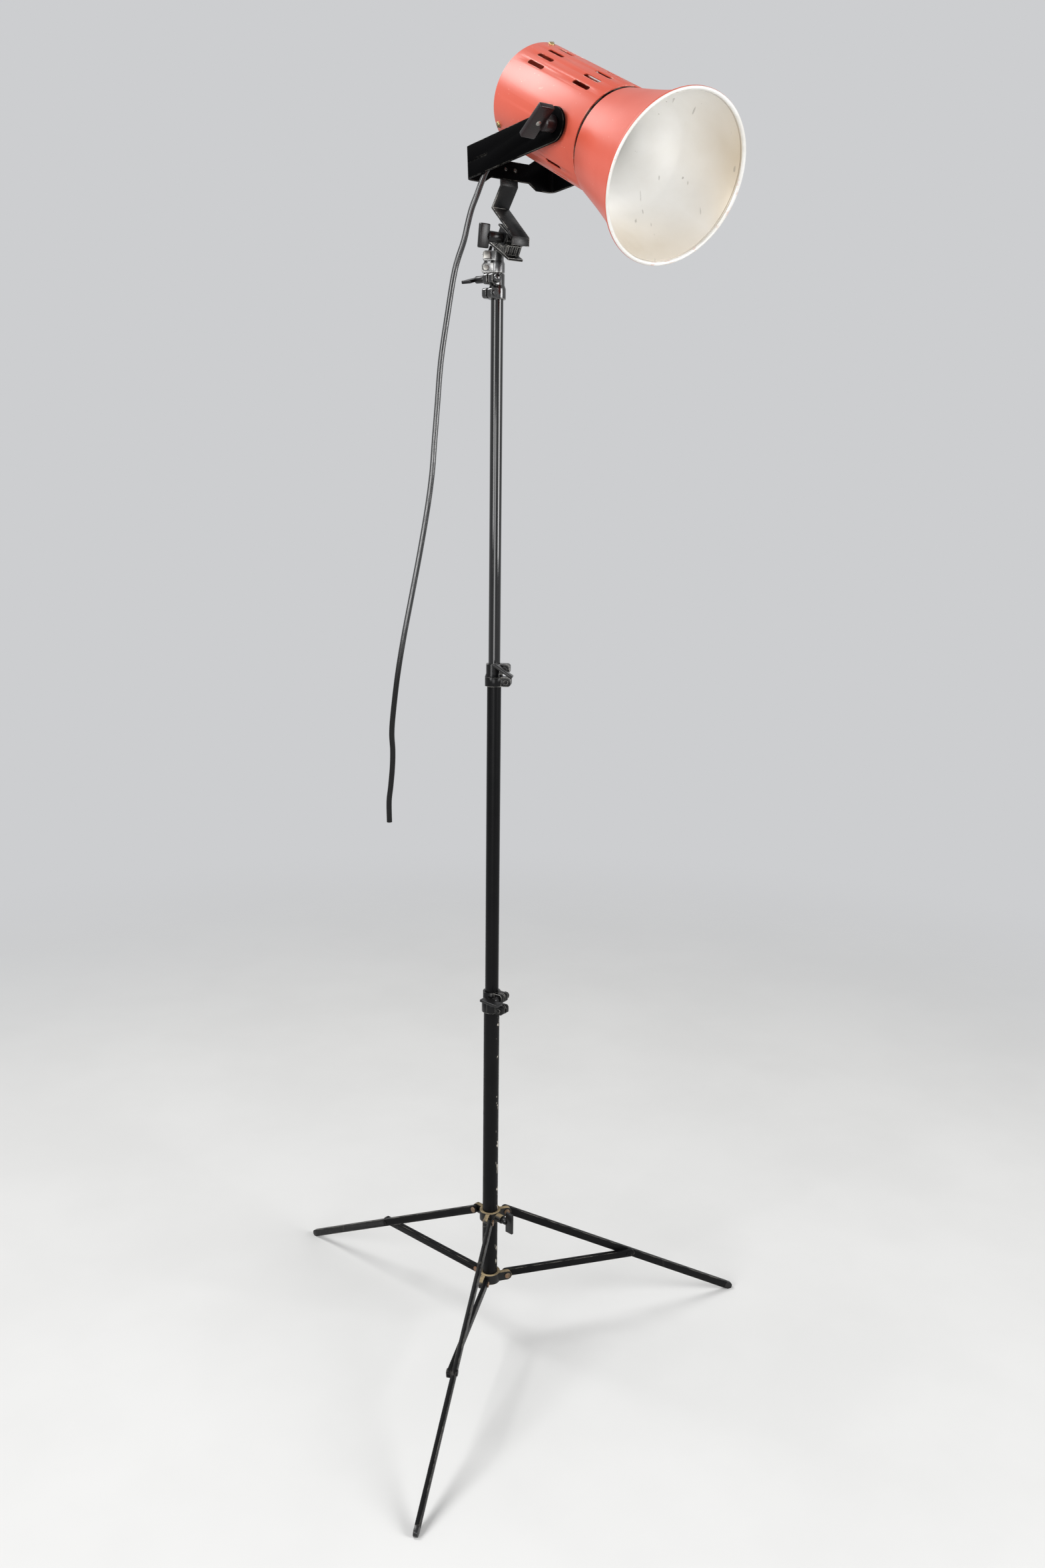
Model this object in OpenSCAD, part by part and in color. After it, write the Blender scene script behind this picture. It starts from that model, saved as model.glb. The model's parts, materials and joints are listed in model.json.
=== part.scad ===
// Studio floodlight: a bell reflector lamp in a yoke on a folding, telescoping tripod stand.
// Millimetres, +Z up, origin on the floor under the pole axis.

/* [Tripod] */
// Length of a leg from its hub pivot to its tip
leg_len = 430; // [410:1:450]
// Width of the leg and brace bars
bar_w = 6; // [5:0.5:8]
// Height of the leg and brace bars
bar_h = 11; // [9:0.5:13]
// Wall of the leg and brace bars
bar_wall = 1.2; // [0.8:0.1:1.8]
// Distance along a leg from its hub pivot to its brace pivot
brace_at = 224; // [218:1:228]
// Length of a brace between its pivots
brace_len = 198; // [194:1:202]
// Height from the brace pivots up to the leg pivots
hub_gap = 101.5; // [92:0.5:110]
// Distance of the hub pivots from the pole axis
pivot_r = 25; // [24:0.5:29]
// Height of both hub rings
hub_h = 14.5; // [12:0.5:17]
// Wall of the hub rings
hub_wall = 4.2; // [3:0.2:5]
// Thickness of a hub lug
lug_t = 6; // [4:0.5:7]
// Diameter of the hub pins
pin_d = 5; // [4:0.5:6]
// Heading of the first leg
leg_heading = 16.5; // [0:0.5:60]

/* [Tubes] */
// Diameter of the base tube
tube_1_d = 22.2; // [21.8:0.1:22.6]
// Diameter of the second tube
tube_2_d = 19; // [18.6:0.1:19.2]
// Diameter of the third tube
tube_3_d = 15.8; // [15.4:0.1:16]
// Diameter of the fourth tube
tube_4_d = 12.6; // [12.4:0.1:12.8]
// Wall of every tube
tube_wall = 1.2; // [1:0.05:1.25]
// Length of the base tube
base_tube_len = 441; // [430:1:460]
// Height of the second clamp above the base clamp
second_rise = 465; // [440:1:478]
// Height of the third clamp above the second clamp
third_rise = 490; // [470:1:508]
// Length of the second tube
second_tube_len = 489; // [480:1:500]
// Length of the third tube
third_tube_len = 530; // [520:1:560]
// Length of the fourth tube
fourth_tube_len = 480; // [440:1:500]

/* [Tube clamps] */
// Wall of the clamp rings
clamp_wall = 3; // [2.4:0.2:3.6]
// Height of the ring on the outer tube
clamp_low_h = 12.5; // [11.5:0.5:15]
// Height of the ring on the inner tube
clamp_high_h = 13; // [11:0.5:14]
// Height of the taper between the rings
clamp_taper_h = 4.5; // [3:0.5:6]
// Reach of the clamp ears beyond the ring
ear_reach = 10.5; // [10:0.5:12]
// Thickness of a clamp ear
ear_t = 6.5; // [5:0.5:7]
// Corner radius of a clamp ear
ear_corner = 4; // [3:0.5:5]
// Split between the clamp ears
ear_split = 2; // [1.5:0.5:3]
// Diameter of the clamp bolts
bolt_d = 5; // [4:0.5:6]
// Length of a clamp wing
wing_len = 30; // [24:1:31]
// Depth of a clamp wing
wing_depth = 12; // [9:1:15]
// Extra reach of the third clamp's wing
third_wing_out = 8; // [7.5:0.5:10]

/* [Tilt joint] */
// Turn of the head about the pole
head_pan = -55; // [-90:1:0]
// Diameter of the spigot under the tilt joint
spigot_d = 10; // [9:0.1:10.1]
// Length of the spigot below the tilt plate
spigot_len = 55; // [45:1:65]
// Distance of the tilt axis in front of the pole
tilt_x = 28; // [25:0.5:32]
// Height of the tilt axis above the top clamp
tilt_rise = 11; // [10:0.5:13]
// Radius of the tilt drum's hub
drum_r = 7.5; // [7:0.5:9]
// Radius of the tilt drum's ridged foot
fan_r = 25; // [22:0.5:27]
// Distance of the plate under the drum from the tilt axis
cradle_drop = 15; // [14:0.5:16]
// Width of the arm strip
strip_w = 25; // [22:0.5:28]
// Thickness of the arm strip
strip_t = 2.5; // [2:0.1:3]
// Slope of the plate under the drum
cradle_slope = 30; // [26:1:32]
// Diameter of the tilt bolt and the yoke bolts
stud_d = 8; // [6:0.5:9]

/* [Yoke] */
// Distance of the yoke pivot in front of the pole
yoke_x = 197; // [190:1:205]
// Height of the yoke pivot above the tilt axis
yoke_rise = 90; // [85:1:97]
// Length of the yoke arms
yoke_len = 172; // [168:1:180]
// Width of the yoke strip
yoke_w = 36; // [32:0.5:40]
// Thickness of the yoke strip
yoke_t = 3; // [2.5:0.1:3.5]
// Slope of the yoke arms, rear end low
yoke_slope = 4; // [2:0.5:7]
// Gap between the housing and a yoke arm
yoke_gap = 3; // [2:0.2:5]
// Length of the yoke wing knob
knob_len = 44; // [36:1:50]

/* [Lamp] */
// Tilt of the lamp, front end low
lamp_tilt = 26.5; // [0:0.5:45]
// Radius of the lamp housing
house_r = 59.5; // [56:0.5:62]
// Wall of the housing and reflector
sheet_t = 1.2; // [0.8:0.1:1.6]
// Housing length behind the pivot
house_back = 132.5; // [125:0.5:138]
// Housing length in front of the pivot
house_front = 37; // [32:0.5:42]
// Gap between the housing and the reflector
bell_gap = 5; // [3:0.5:7]
// Length of the bell reflector
bell_len = 104; // [90:1:115]
// Neck radius of the bell reflector
bell_neck_r = 60.6; // [60:0.1:63]
// Radius of the ring that carries the reflector
neck_r = 57.4; // [55.5:0.1:57.6]
// Thickness of the reflector's silver lining
liner_t = 0.8; // [0.6:0.1:1]
// Rim radius of the bell reflector
bell_rim_r = 88.5; // [84:0.5:94]
// Radius of the rolled rim bead
bead_r = 2.2; // [1.6:0.1:3]
// Length of a vent slot
slot_len = 31; // [24:1:34]
// Width of a vent slot
slot_w = 5.5; // [4:0.5:7]
// Radius of the lamp globe
globe_r = 30; // [26:0.5:34]

/* [Cord] */
// Diameter of the cord
cord_d = 7; // [6:0.5:8]
// Length of the strain relief
gland_len = 20; // [18:1:22]

/* [Hidden] */

$fn = 48;
cut = 1;             // spare length of a cutting shape past a face
part_gap = 0.4;      // clear space between pieces that move past each other
slide_fit = 0.06;    // radial clearance of a running fit
seat_fit = 0.02;     // radial clearance of a fixed fit
head_h = 1.4;        // height of a rivet head
foot_wear = 0.5;     // depth of the flat worn on a leg tip

// Tripod geometry: the hub pivots and the leg and brace pivots make a triangle
leg_cos = (brace_at * brace_at + hub_gap * hub_gap - brace_len * brace_len) / (2 * brace_at * hub_gap);
brace_cos = (brace_len * brace_len + hub_gap * hub_gap - brace_at * brace_at) / (2 * brace_len * hub_gap);
leg_dip = 90 - acos(leg_cos);
brace_climb = 90 - acos(brace_cos);
leg_pivot_z = (leg_len - bar_h / 2) * leg_cos + bar_h / 2 - foot_wear;
brace_pivot_z = leg_pivot_z - hub_gap;
hub_r = tube_1_d / 2 + hub_wall;
leg_side = max(lug_t, bar_w) / 2 + part_gap;
low_lug_side = bar_w / 2 + part_gap;
pin_head_r = pin_d / 2 + 1.8;
lug_h = hub_h - 1;
lug_end_r = lug_h / 2;
bar_end_r = bar_h / 2;
brace_past = 3;
tip_len = 12;
plug_len = 10;
hub_boss_r = 6;
hub_screw_r = 3;
hub_boss_end = pivot_r;
hub_wing_heading = leg_heading - 60;
hub_wing_len = 31;
leg_turns = [0, 120, 240];

// Pole geometry: heights of the clamps and tubes
base_z = brace_pivot_z - hub_h / 2;
base_top = base_z + base_tube_len;
second_top = base_top + second_rise;
third_top = second_top + third_rise;
top_ring_h = 11;
clamp_h = clamp_low_h + clamp_taper_h + clamp_high_h;
third_clamp_top = third_top + clamp_taper_h + clamp_high_h;
fourth_top = third_clamp_top + 1.5 + top_ring_h;
top_clamp_top = fourth_top + 3.5 + top_ring_h;
ear_stack = 2 * ear_t + ear_split;
bolt_r = bolt_d / 2;
bolt_head_r = bolt_r + 2;
dome_r = bolt_r + 3;
wing_t = 4;
wing_boss_r = bolt_r + 2;
rivet_r = 2;

// Tilt joint geometry in the panned frame: x forward, y to the far side
tilt_z = top_clamp_top + tilt_rise;
cradle_t = 3;
cradle_back = 33;
cradle_front = 22;
fan_top = 3.5;
fan_front = 12;
drum_w = 22;
tilt_ear_t = 3.2;
tilt_ear_y = drum_w / 2 + part_gap;
tilt_hole_r = stud_d / 2 + slide_fit;
jaw_t = 2.5;
jaw_slope = 36;
jaw_back = 14;
jaw_front = 28;
jaw_low = 3.5;
ear_half = 9;
jaw_top = drum_r + 0.8 + part_gap;
knuckle_x = tilt_x + 21;
tilt_wing_len = 28;
tilt_wing_depth = 12;

// Yoke and lamp geometry
yoke_z = tilt_z + yoke_rise;
yoke_in = house_r + yoke_gap;
bend_r = 6;
bolt_hole_r = stud_d / 2 + slide_fit;
knob_boss_r = 9;
knob_boss_len = 14;
knob_depth = 17;
knob_t = 7;
knob_turn = 33;
cross_x = -yoke_len;
flange_back = yoke_len + yoke_t / 2 + strip_t / 2 + seat_fit;
bell_start = house_front + bell_gap;
bell_end = bell_start + bell_len;
bell_steps = 14;
bell_sag = bell_neck_r - sheet_t - neck_r - seat_fit;
liner_start = -2;
liner_end = bell_end - 2.5;
liner_hole_r = 33;
liner_fit = 0.1;
ring_r = house_r - sheet_t - seat_fit;
cap_len = 15;
cap_screw_t = -house_back + 8;
cap_screw_turns = [5, 125, 245];
holder_back = -house_back + 24;
holder_len = 36;
holder_r = 20;
holder_front = holder_back + holder_len;
shell_r = 14;
cap_r = shell_r - 1.2;
globe_t = house_front - globe_r - 16;
glass_t = 1;
gland_t = -115;
gland_turn = 145;

// Route of the cord from the strain relief down to its cut end
cord_route = [[-0.7, -79.4, 1628.7], [-7.5, -79.7, 1621.3], [-13.8, -79.6, 1612.5], [-19, -79, 1601],
    [-24.5, -78, 1587], [-31, -76, 1571], [-36, -74, 1553], [-40.5, -72, 1535], [-51, -70, 1503],
    [-60, -70, 1451], [-68, -70, 1398], [-73, -70, 1344], [-77, -70, 1300], [-80, -70, 1266],
    [-88, -70, 1226], [-96, -70, 1170], [-105, -70, 1113], [-115, -70, 1060], [-123, -70, 1010],
    [-128, -70, 960], [-131, -70, 910], [-133, -70, 866], [-135, -70, 820]];
cord_sides = 10;
cord_parts = 3;

black = [0.07, 0.07, 0.08];
coral = [0.86, 0.33, 0.26];
steel = [0.62, 0.62, 0.60];
rust = [0.42, 0.27, 0.18];

// Shared shapes

module tube(d, wall, z0, z1) {
    difference() {
        translate([0, 0, z0]) cylinder(d = d, h = z1 - z0);
        translate([0, 0, z0 - cut]) cylinder(d = d - 2 * wall, h = z1 - z0 + 2 * cut);
    }
}

// A round bar along Y between two places
module cross_bar(r, y0, y1) {
    translate([0, y1, 0]) rotate([90, 0, 0]) cylinder(r = r, h = y1 - y0);
}

// A bar along X, round at both ends, from y0 across its width
module round_bar(x0, x1, y0, w, h) {
    translate([x0, y0, -h / 2]) cube([x1 - x0, w, h]);
    for (x = [x0, x1]) translate([x, 0, 0]) cross_bar(h / 2, y0, y0 + w);
}

// A finger grip along +X: a round boss from x0 that carries a flat blade with cut corners
module wing(boss_r, boss_len, len, depth, t) {
    x1 = boss_len - 2;
    x2 = boss_len + depth;
    c = t / 2;
    cylinder_x(boss_r, 0, boss_len);
    translate([0, t / 2, 0]) rotate([90, 0, 0]) linear_extrude(t)
        polygon([[x1, -boss_r * 0.8], [x1 + c, -len / 2], [x2 - c, -len / 2], [x2, -len / 2 + c],
            [x2, len / 2 - c], [x2 - c, len / 2], [x1 + c, len / 2], [x1, boss_r * 0.8]]);
}

module cylinder_x(r, x0, x1) {
    translate([x0, 0, 0]) rotate([0, 90, 0]) cylinder(r = r, h = x1 - x0);
}

// A strip across Y that follows points in X and Z, round at its bends
module bent_strip(points, w, t) {
    for (i = [0 : len(points) - 2]) {
        d = points[i + 1] - points[i];
        translate([points[i][0], 0, points[i][1]]) rotate([0, -atan2(d[1], d[0]), 0])
            translate([0, -w / 2, -t / 2]) cube([norm(d), w, t]);
    }
    for (i = [1 : len(points) - 2])
        translate([points[i][0], 0, points[i][1]]) cross_bar(t / 2, -w / 2, w / 2);
}

// Frames

module at_leg(i) {
    rotate([0, 0, leg_heading + leg_turns[i - 1]]) translate([pivot_r, 0, leg_pivot_z])
        rotate([0, leg_dip, 0]) children();
}

module at_brace(i) {
    rotate([0, 0, leg_heading + leg_turns[i - 1]]) translate([pivot_r, 0, brace_pivot_z])
        rotate([0, -brace_climb, 0]) children();
}

module at_head() {
    rotate([0, 0, head_pan]) children();
}

module at_tilt() {
    at_head() translate([tilt_x, 0, tilt_z]) children();
}

module at_yoke() {
    at_head() translate([yoke_x, 0, yoke_z]) rotate([0, -yoke_slope, 0]) children();
}

// The lamp's axis is +X from the yoke pivot, and its top is +Z
module at_lamp() {
    at_head() translate([yoke_x, 0, yoke_z]) rotate([0, lamp_tilt, 0]) children();
}

module lamp_turned(profile_points) {
    at_lamp() rotate([0, 90, 0]) rotate_extrude($fn = 96) polygon(profile_points);
}

// The reflector hangs on its ring, a little below the lamp's axis
module hung_turned(profile_points) {
    at_lamp() translate([0, 0, -bell_sag]) rotate([0, 90, 0])
        rotate_extrude($fn = 96) polygon(profile_points);
}

// A place on the housing wall, turned from the top towards the near side
module on_housing(t, turn) {
    translate([t, 0, 0]) rotate([turn, 0, 0]) children();
}

// Tripod

// A ring round the base tube with three lugs, before its bore
module hub_blank(side) {
    translate([0, 0, -hub_h / 2]) cylinder(r = hub_r, h = hub_h);
    for (turn = leg_turns) rotate([0, 0, leg_heading + turn]) {
        translate([0, side, -lug_h / 2]) cube([pivot_r, lug_t, lug_h]);
        translate([pivot_r, 0, 0]) cross_bar(lug_end_r, side, side + lug_t);
    }
}

module hub_cuts(side, fit) {
    translate([0, 0, -hub_h / 2 - cut]) cylinder(r = tube_1_d / 2 + fit, h = hub_h + 2 * cut);
    for (turn = leg_turns) rotate([0, 0, leg_heading + turn]) translate([pivot_r, 0, 0])
        cross_bar(pin_d / 2 + seat_fit, side - cut, side + lug_t + cut);
}

module base_tube() {
    color(black) tube(tube_1_d, tube_wall, base_z, base_top);
}

module brace_hub() {
    side = -low_lug_side - lug_t;
    color(black) translate([0, 0, brace_pivot_z]) difference() {
        hub_blank(side);
        hub_cuts(side, seat_fit);
    }
}

module pin(y0, y1) {
    cross_bar(pin_d / 2, y0, y1);
    cross_bar(pin_head_r, y0 - head_h, y0);
    cross_bar(pin_head_r, y1, y1 + head_h);
}

module brace_pins() {
    color(rust) for (turn = leg_turns)
        rotate([0, 0, leg_heading + turn]) translate([pivot_r, 0, brace_pivot_z])
            pin(-low_lug_side - lug_t, bar_w / 2 + part_gap);
}

module leg_hub() {
    color(black) translate([0, 0, leg_pivot_z]) difference() {
        union() {
            hub_blank(-lug_t / 2);
            rotate([0, 0, hub_wing_heading]) cylinder_x(hub_boss_r, 0, hub_boss_end);
        }
        hub_cuts(-lug_t / 2, slide_fit);
        rotate([0, 0, hub_wing_heading]) cylinder_x(hub_screw_r + slide_fit, 0, hub_boss_end + cut);
    }
}

module leg_pins() {
    color(rust) for (turn = leg_turns)
        rotate([0, 0, leg_heading + turn]) translate([pivot_r, 0, leg_pivot_z])
            pin(-lug_t / 2, leg_side + bar_w + part_gap);
}

module hub_wing() {
    color(black) rotate([0, 0, hub_wing_heading]) translate([0, 0, leg_pivot_z]) {
        cylinder_x(hub_screw_r, tube_1_d / 2 + part_gap, hub_boss_end + 4);
        translate([hub_boss_end + part_gap, 0, 0]) wing(hub_boss_r - 1, 9, hub_wing_len, 11, wing_t);
    }
}

module leg(i) {
    inner_h = bar_h - 2 * bar_wall;
    color(black) at_leg(i) {
        difference() {
            union() {
                translate([0, leg_side, -bar_h / 2]) cube([leg_len - tip_len, bar_w, bar_h]);
                cross_bar(bar_end_r, leg_side, leg_side + bar_w);
            }
            translate([bar_end_r, leg_side + bar_wall, -inner_h / 2])
                cube([leg_len, bar_w - 2 * bar_wall, inner_h]);
            cross_bar(pin_d / 2 + slide_fit, leg_side - cut, leg_side + bar_w + cut);
        }
        translate([brace_at, 0, 0]) {
            cross_bar(pin_d / 2, leg_side, leg_side + bar_w + head_h);
            cross_bar(pin_head_r, leg_side + bar_w, leg_side + bar_w + head_h);
        }
    }
}

module leg_tip(i) {
    plug_h = bar_h - 2 * bar_wall - 2 * seat_fit;
    plug_w = bar_w - 2 * bar_wall - 2 * seat_fit;
    color(black) difference() {
        at_leg(i) {
            translate([leg_len - tip_len, leg_side, -bar_h / 2]) cube([tip_len - bar_end_r, bar_w, bar_h]);
            translate([leg_len - bar_end_r, 0, 0]) cross_bar(bar_end_r, leg_side, leg_side + bar_w);
            translate([leg_len - tip_len - plug_len, leg_side + bar_wall + seat_fit, -plug_h / 2])
                cube([plug_len + cut, plug_w, plug_h]);
        }
        translate([-2 * leg_len, -2 * leg_len, -bar_h]) cube([4 * leg_len, 4 * leg_len, bar_h]);
    }
}

module brace(i) {
    inner_h = bar_h - 2 * bar_wall;
    color(black) at_brace(i) {
        difference() {
            round_bar(0, brace_len + brace_past, -bar_w / 2, bar_w, bar_h);
            translate([bar_end_r, -bar_w / 2 + bar_wall, -inner_h / 2])
                cube([brace_len - bar_h, bar_w - 2 * bar_wall, inner_h]);
            cross_bar(pin_d / 2 + slide_fit, -bar_w, bar_w);
        }
        translate([brace_len, 0, 0]) cross_bar(pin_head_r, -bar_w / 2 - head_h, -bar_w / 2);
    }
}

// Tube clamps: a ring on the outer tube, a taper and a ring on the inner tube, each with split ears

function clamp_bolt_x(d) = d / 2 + clamp_wall + ear_reach - clamp_high_h / 2;

module ears(d, z0, h) {
    half = ear_stack / 2;
    corner_x = d / 2 + clamp_wall + ear_reach - ear_corner;
    hull() {
        translate([0, -half, z0]) cube([1, ear_stack, h]);
        for (z = [z0 + ear_corner, z0 + h - ear_corner])
            translate([corner_x, 0, z]) cross_bar(ear_corner, -half, half);
    }
}

module ear_cuts(d, z0, h, hole_r) {
    end_x = d / 2 + clamp_wall + ear_reach - h / 2;
    translate([0, -ear_split / 2, z0 - cut]) cube([end_x + h, ear_split, h + 2 * cut]);
    translate([end_x, 0, z0 + h / 2]) cross_bar(hole_r, -ear_stack, ear_stack);
}

module clamp_body(low_d, high_d, seam_z, heading, low_h, high_h, taper_h) {
    low_z = seam_z - low_h;
    high_z = seam_z + taper_h;
    color(black) rotate([0, 0, heading]) difference() {
        union() {
            translate([0, 0, low_z]) cylinder(d = low_d + 2 * clamp_wall, h = low_h);
            translate([0, 0, seam_z])
                cylinder(d1 = low_d + 2 * clamp_wall, d2 = high_d + 2 * clamp_wall, h = taper_h);
            translate([0, 0, high_z]) cylinder(d = high_d + 2 * clamp_wall, h = high_h);
            ears(low_d, low_z, low_h);
            ears(high_d, high_z, high_h);
        }
        translate([0, 0, low_z - cut]) cylinder(d = low_d + 2 * seat_fit, h = low_h + cut);
        translate([0, 0, low_z]) cylinder(d = high_d + 2 * slide_fit, h = low_h + taper_h + high_h + cut);
        ear_cuts(low_d, low_z, low_h, rivet_r + seat_fit);
        ear_cuts(high_d, high_z, high_h, bolt_r + seat_fit);
    }
}

// The clamp's rivet through its lower ears and its bolt through its upper ears; side is the wing's side
module clamp_bolts(low_d, high_d, seam_z, heading, low_h, high_h, taper_h, side, square, out = 0) {
    low_x = low_d / 2 + clamp_wall + ear_reach - low_h / 2;
    high_x = high_d / 2 + clamp_wall + ear_reach - high_h / 2;
    half = ear_stack / 2;
    color(steel) rotate([0, 0, heading]) {
        translate([low_x, 0, seam_z - low_h / 2]) {
            cross_bar(rivet_r, -half, half);
            cross_bar(rivet_r + 1.4, -half - head_h, -half);
            cross_bar(rivet_r + 1.4, half, half + head_h);
        }
        translate([high_x, 0, seam_z + taper_h + high_h / 2]) mirror([0, side > 0 ? 1 : 0, 0]) {
            cross_bar(bolt_r, -wing_seat(low_d) - out + 2, half);
            if (square)
                translate([-bolt_head_r + 0.4, half, -bolt_head_r + 0.4])
                    cube([2 * bolt_head_r - 0.8, 2 * head_h, 2 * bolt_head_r - 0.8]);
            else translate([0, half, 0]) rotate([-90, 0, 0]) {
                cylinder(r = dome_r, h = 4);
                translate([0, 0, 4]) cylinder(r1 = dome_r, r2 = dome_r * 0.8, h = 2);
                translate([0, 0, 6]) cylinder(r1 = dome_r * 0.8, r2 = dome_r * 0.35, h = 1.6);
            }
        }
    }
}

// Where the blade of a clamp's wing starts: past the ears and past the ring
function wing_seat(low_d) = max(ear_stack / 2 + 6, low_d / 2 + clamp_wall + 1.5);

module clamp_wing(low_d, high_d, seam_z, heading, high_h, taper_h, side, turn, out = 0) {
    high_x = high_d / 2 + clamp_wall + ear_reach - high_h / 2;
    start = ear_stack / 2 + part_gap;
    boss_len = wing_seat(low_d) + out - start + 2;
    color(black) rotate([0, 0, heading])
        translate([high_x, 0, seam_z + taper_h + high_h / 2]) mirror([0, side > 0 ? 1 : 0, 0])
            rotate([0, 0, -90]) translate([start, 0, 0]) rotate([turn, 0, 0]) difference() {
                wing(wing_boss_r, boss_len, wing_len, wing_depth, wing_t);
                cylinder_x(bolt_r + slide_fit, -cut, boss_len - 3);
            }
}

// Heading of each clamp's ears, side of its wing and rest turn of the wing
base_ears = -38;
base_wing_turn = 86;
second_ears = -8;
second_wing_turn = 55;
third_ears = -128;
third_wing_turn = 75;
top_ears = 180;
top_wing_turn = 20;

module base_clamp() {
    clamp_body(tube_1_d, tube_2_d, base_top, base_ears, clamp_low_h, clamp_high_h, clamp_taper_h);
}

module base_clamp_bolts() {
    clamp_bolts(tube_1_d, tube_2_d, base_top, base_ears, clamp_low_h, clamp_high_h, clamp_taper_h, -1, false);
}

module base_clamp_wing() {
    clamp_wing(tube_1_d, tube_2_d, base_top, base_ears, clamp_high_h, clamp_taper_h, -1, base_wing_turn);
}

module second_tube() {
    color(black) tube(tube_2_d, tube_wall, second_top - second_tube_len, second_top);
}

module second_clamp() {
    clamp_body(tube_2_d, tube_3_d, second_top, second_ears, clamp_low_h, clamp_high_h, clamp_taper_h);
}

module second_clamp_bolts() {
    clamp_bolts(tube_2_d, tube_3_d, second_top, second_ears, clamp_low_h, clamp_high_h, clamp_taper_h,
        -1, false);
}

module second_clamp_wing() {
    clamp_wing(tube_2_d, tube_3_d, second_top, second_ears, clamp_high_h, clamp_taper_h, -1,
        second_wing_turn);
}

module third_tube() {
    color(black) tube(tube_3_d, tube_wall, third_top - third_tube_len, third_top);
}

module third_clamp() {
    clamp_body(tube_3_d, tube_4_d, third_top, third_ears, clamp_low_h, clamp_high_h, clamp_taper_h);
}

module third_clamp_bolts() {
    clamp_bolts(tube_3_d, tube_4_d, third_top, third_ears, clamp_low_h, clamp_high_h, clamp_taper_h,
        -1, false, third_wing_out);
}

module third_clamp_wing() {
    clamp_wing(tube_3_d, tube_4_d, third_top, third_ears, clamp_high_h, clamp_taper_h, -1, third_wing_turn,
        third_wing_out);
}

module fourth_tube() {
    color(black) tube(tube_4_d, 0.9, fourth_top - fourth_tube_len, fourth_top);
}

module top_clamp() {
    clamp_body(tube_4_d, spigot_d, fourth_top, top_ears, top_ring_h, top_ring_h, 3.5);
}

module top_clamp_bolts() {
    clamp_bolts(tube_4_d, spigot_d, fourth_top, top_ears, top_ring_h, top_ring_h, 3.5, -1, true);
}

module top_clamp_wing() {
    clamp_wing(tube_4_d, spigot_d, fourth_top, top_ears, top_ring_h, 3.5, -1, top_wing_turn);
}

// Tilt joint

// The plate under the drum: its top face is cradle_drop from the tilt axis
module cradle_plate() {
    rotate([0, cradle_slope, 0]) translate([-cradle_back, -drum_w / 2, -cradle_drop - cradle_t])
        cube([cradle_back + cradle_front, drum_w, cradle_t]);
}

module spigot() {
    color(steel) {
        at_tilt() cradle_plate();
        difference() {
            translate([0, 0, top_clamp_top - spigot_len])
                cylinder(d = spigot_d, h = tilt_rise + spigot_len);
            at_tilt() rotate([0, cradle_slope, 0])
                translate([-2 * tilt_x, -tilt_x, -cradle_drop - cradle_t / 2])
                    cube([4 * tilt_x, 2 * tilt_x, 2 * tilt_x]);
        }
    }
}

// A round hub on a foot that spreads to the plate, with ridges on its near and front faces
module foot_outline() {
    polygon([[5 - fan_r, -cradle_drop], [fan_front, -cradle_drop],
        [fan_front, -fan_top], [-fan_r, -fan_top]]);
}

module tilt_drum() {
    fan_w = drum_w - 1.2;
    ridge_start = drum_r + 1.6;
    color(steel) at_tilt() difference() {
        union() {
            cross_bar(drum_r + 0.8, -fan_w / 2, drum_w / 2);
            rotate([0, cradle_slope, 0]) {
                translate([0, drum_w / 2, 0]) rotate([90, 0, 0])
                    linear_extrude((drum_w + fan_w) / 2) foot_outline();
                rotate([90, 0, 0]) linear_extrude(drum_w / 2) intersection() {
                    foot_outline();
                    for (i = [-3 : 3]) rotate(i * 19)
                        polygon([[-1, -ridge_start], [1, -ridge_start], [3, -fan_r - 2], [-3, -fan_r - 2]]);
                }
                for (i = [-1 : 1]) translate([fan_front - 1, i * 6.6 - 2, -cradle_drop])
                    cube([2, 4, cradle_drop - fan_top]);
            }
        }
        cross_bar(tilt_hole_r, -drum_w, drum_w);
    }
}

module tilt_bolt() {
    color(steel) at_tilt() {
        cross_bar(stud_d / 2, -tilt_ear_y - tilt_ear_t - 12, tilt_ear_y + tilt_ear_t + 5);
    }
}

module tilt_nut() {
    nut_y = tilt_ear_y + tilt_ear_t;
    color(steel) at_tilt() difference() {
        translate([0, nut_y + 5, 0]) rotate([90, 0, 0]) cylinder(r = stud_d * 0.95, h = 5, $fn = 6);
        cross_bar(stud_d / 2 + seat_fit, nut_y - cut, nut_y + 5 + cut);
    }
}

module tilt_wing() {
    boss_len = 20;
    color(black) at_tilt() translate([0, -tilt_ear_y - tilt_ear_t - part_gap, 0]) rotate([0, 0, -90])
        rotate([-8, 0, 0]) difference() {
            wing(6.5, boss_len, tilt_wing_len, tilt_wing_depth, wing_t + 2);
            cylinder_x(stud_d / 2 + slide_fit, -cut, 12.5);
        }
}

// Places of the arm strip's bends, in X and Z of the panned frame
function flange_point(h) = [yoke_x - flange_back * cos(yoke_slope) - h * sin(yoke_slope),
    yoke_z - flange_back * sin(yoke_slope) + h * cos(yoke_slope)];

function strip_points() = [
    flange_point(9),
    flange_point(1 - yoke_w / 2),
    [tilt_x - 23, tilt_z + 38],
    [knuckle_x, tilt_z - 0.5],
    [knuckle_x - 0.5, tilt_z - 10]];

module strip_solid() {
    bent_strip(strip_points(), strip_w, strip_t);
}

module arm_strip() {
    color(black) difference() {
        at_head() strip_solid();
        at_yoke() yoke_rivet_bars(rivet_r + seat_fit, cut);
    }
}

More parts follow.
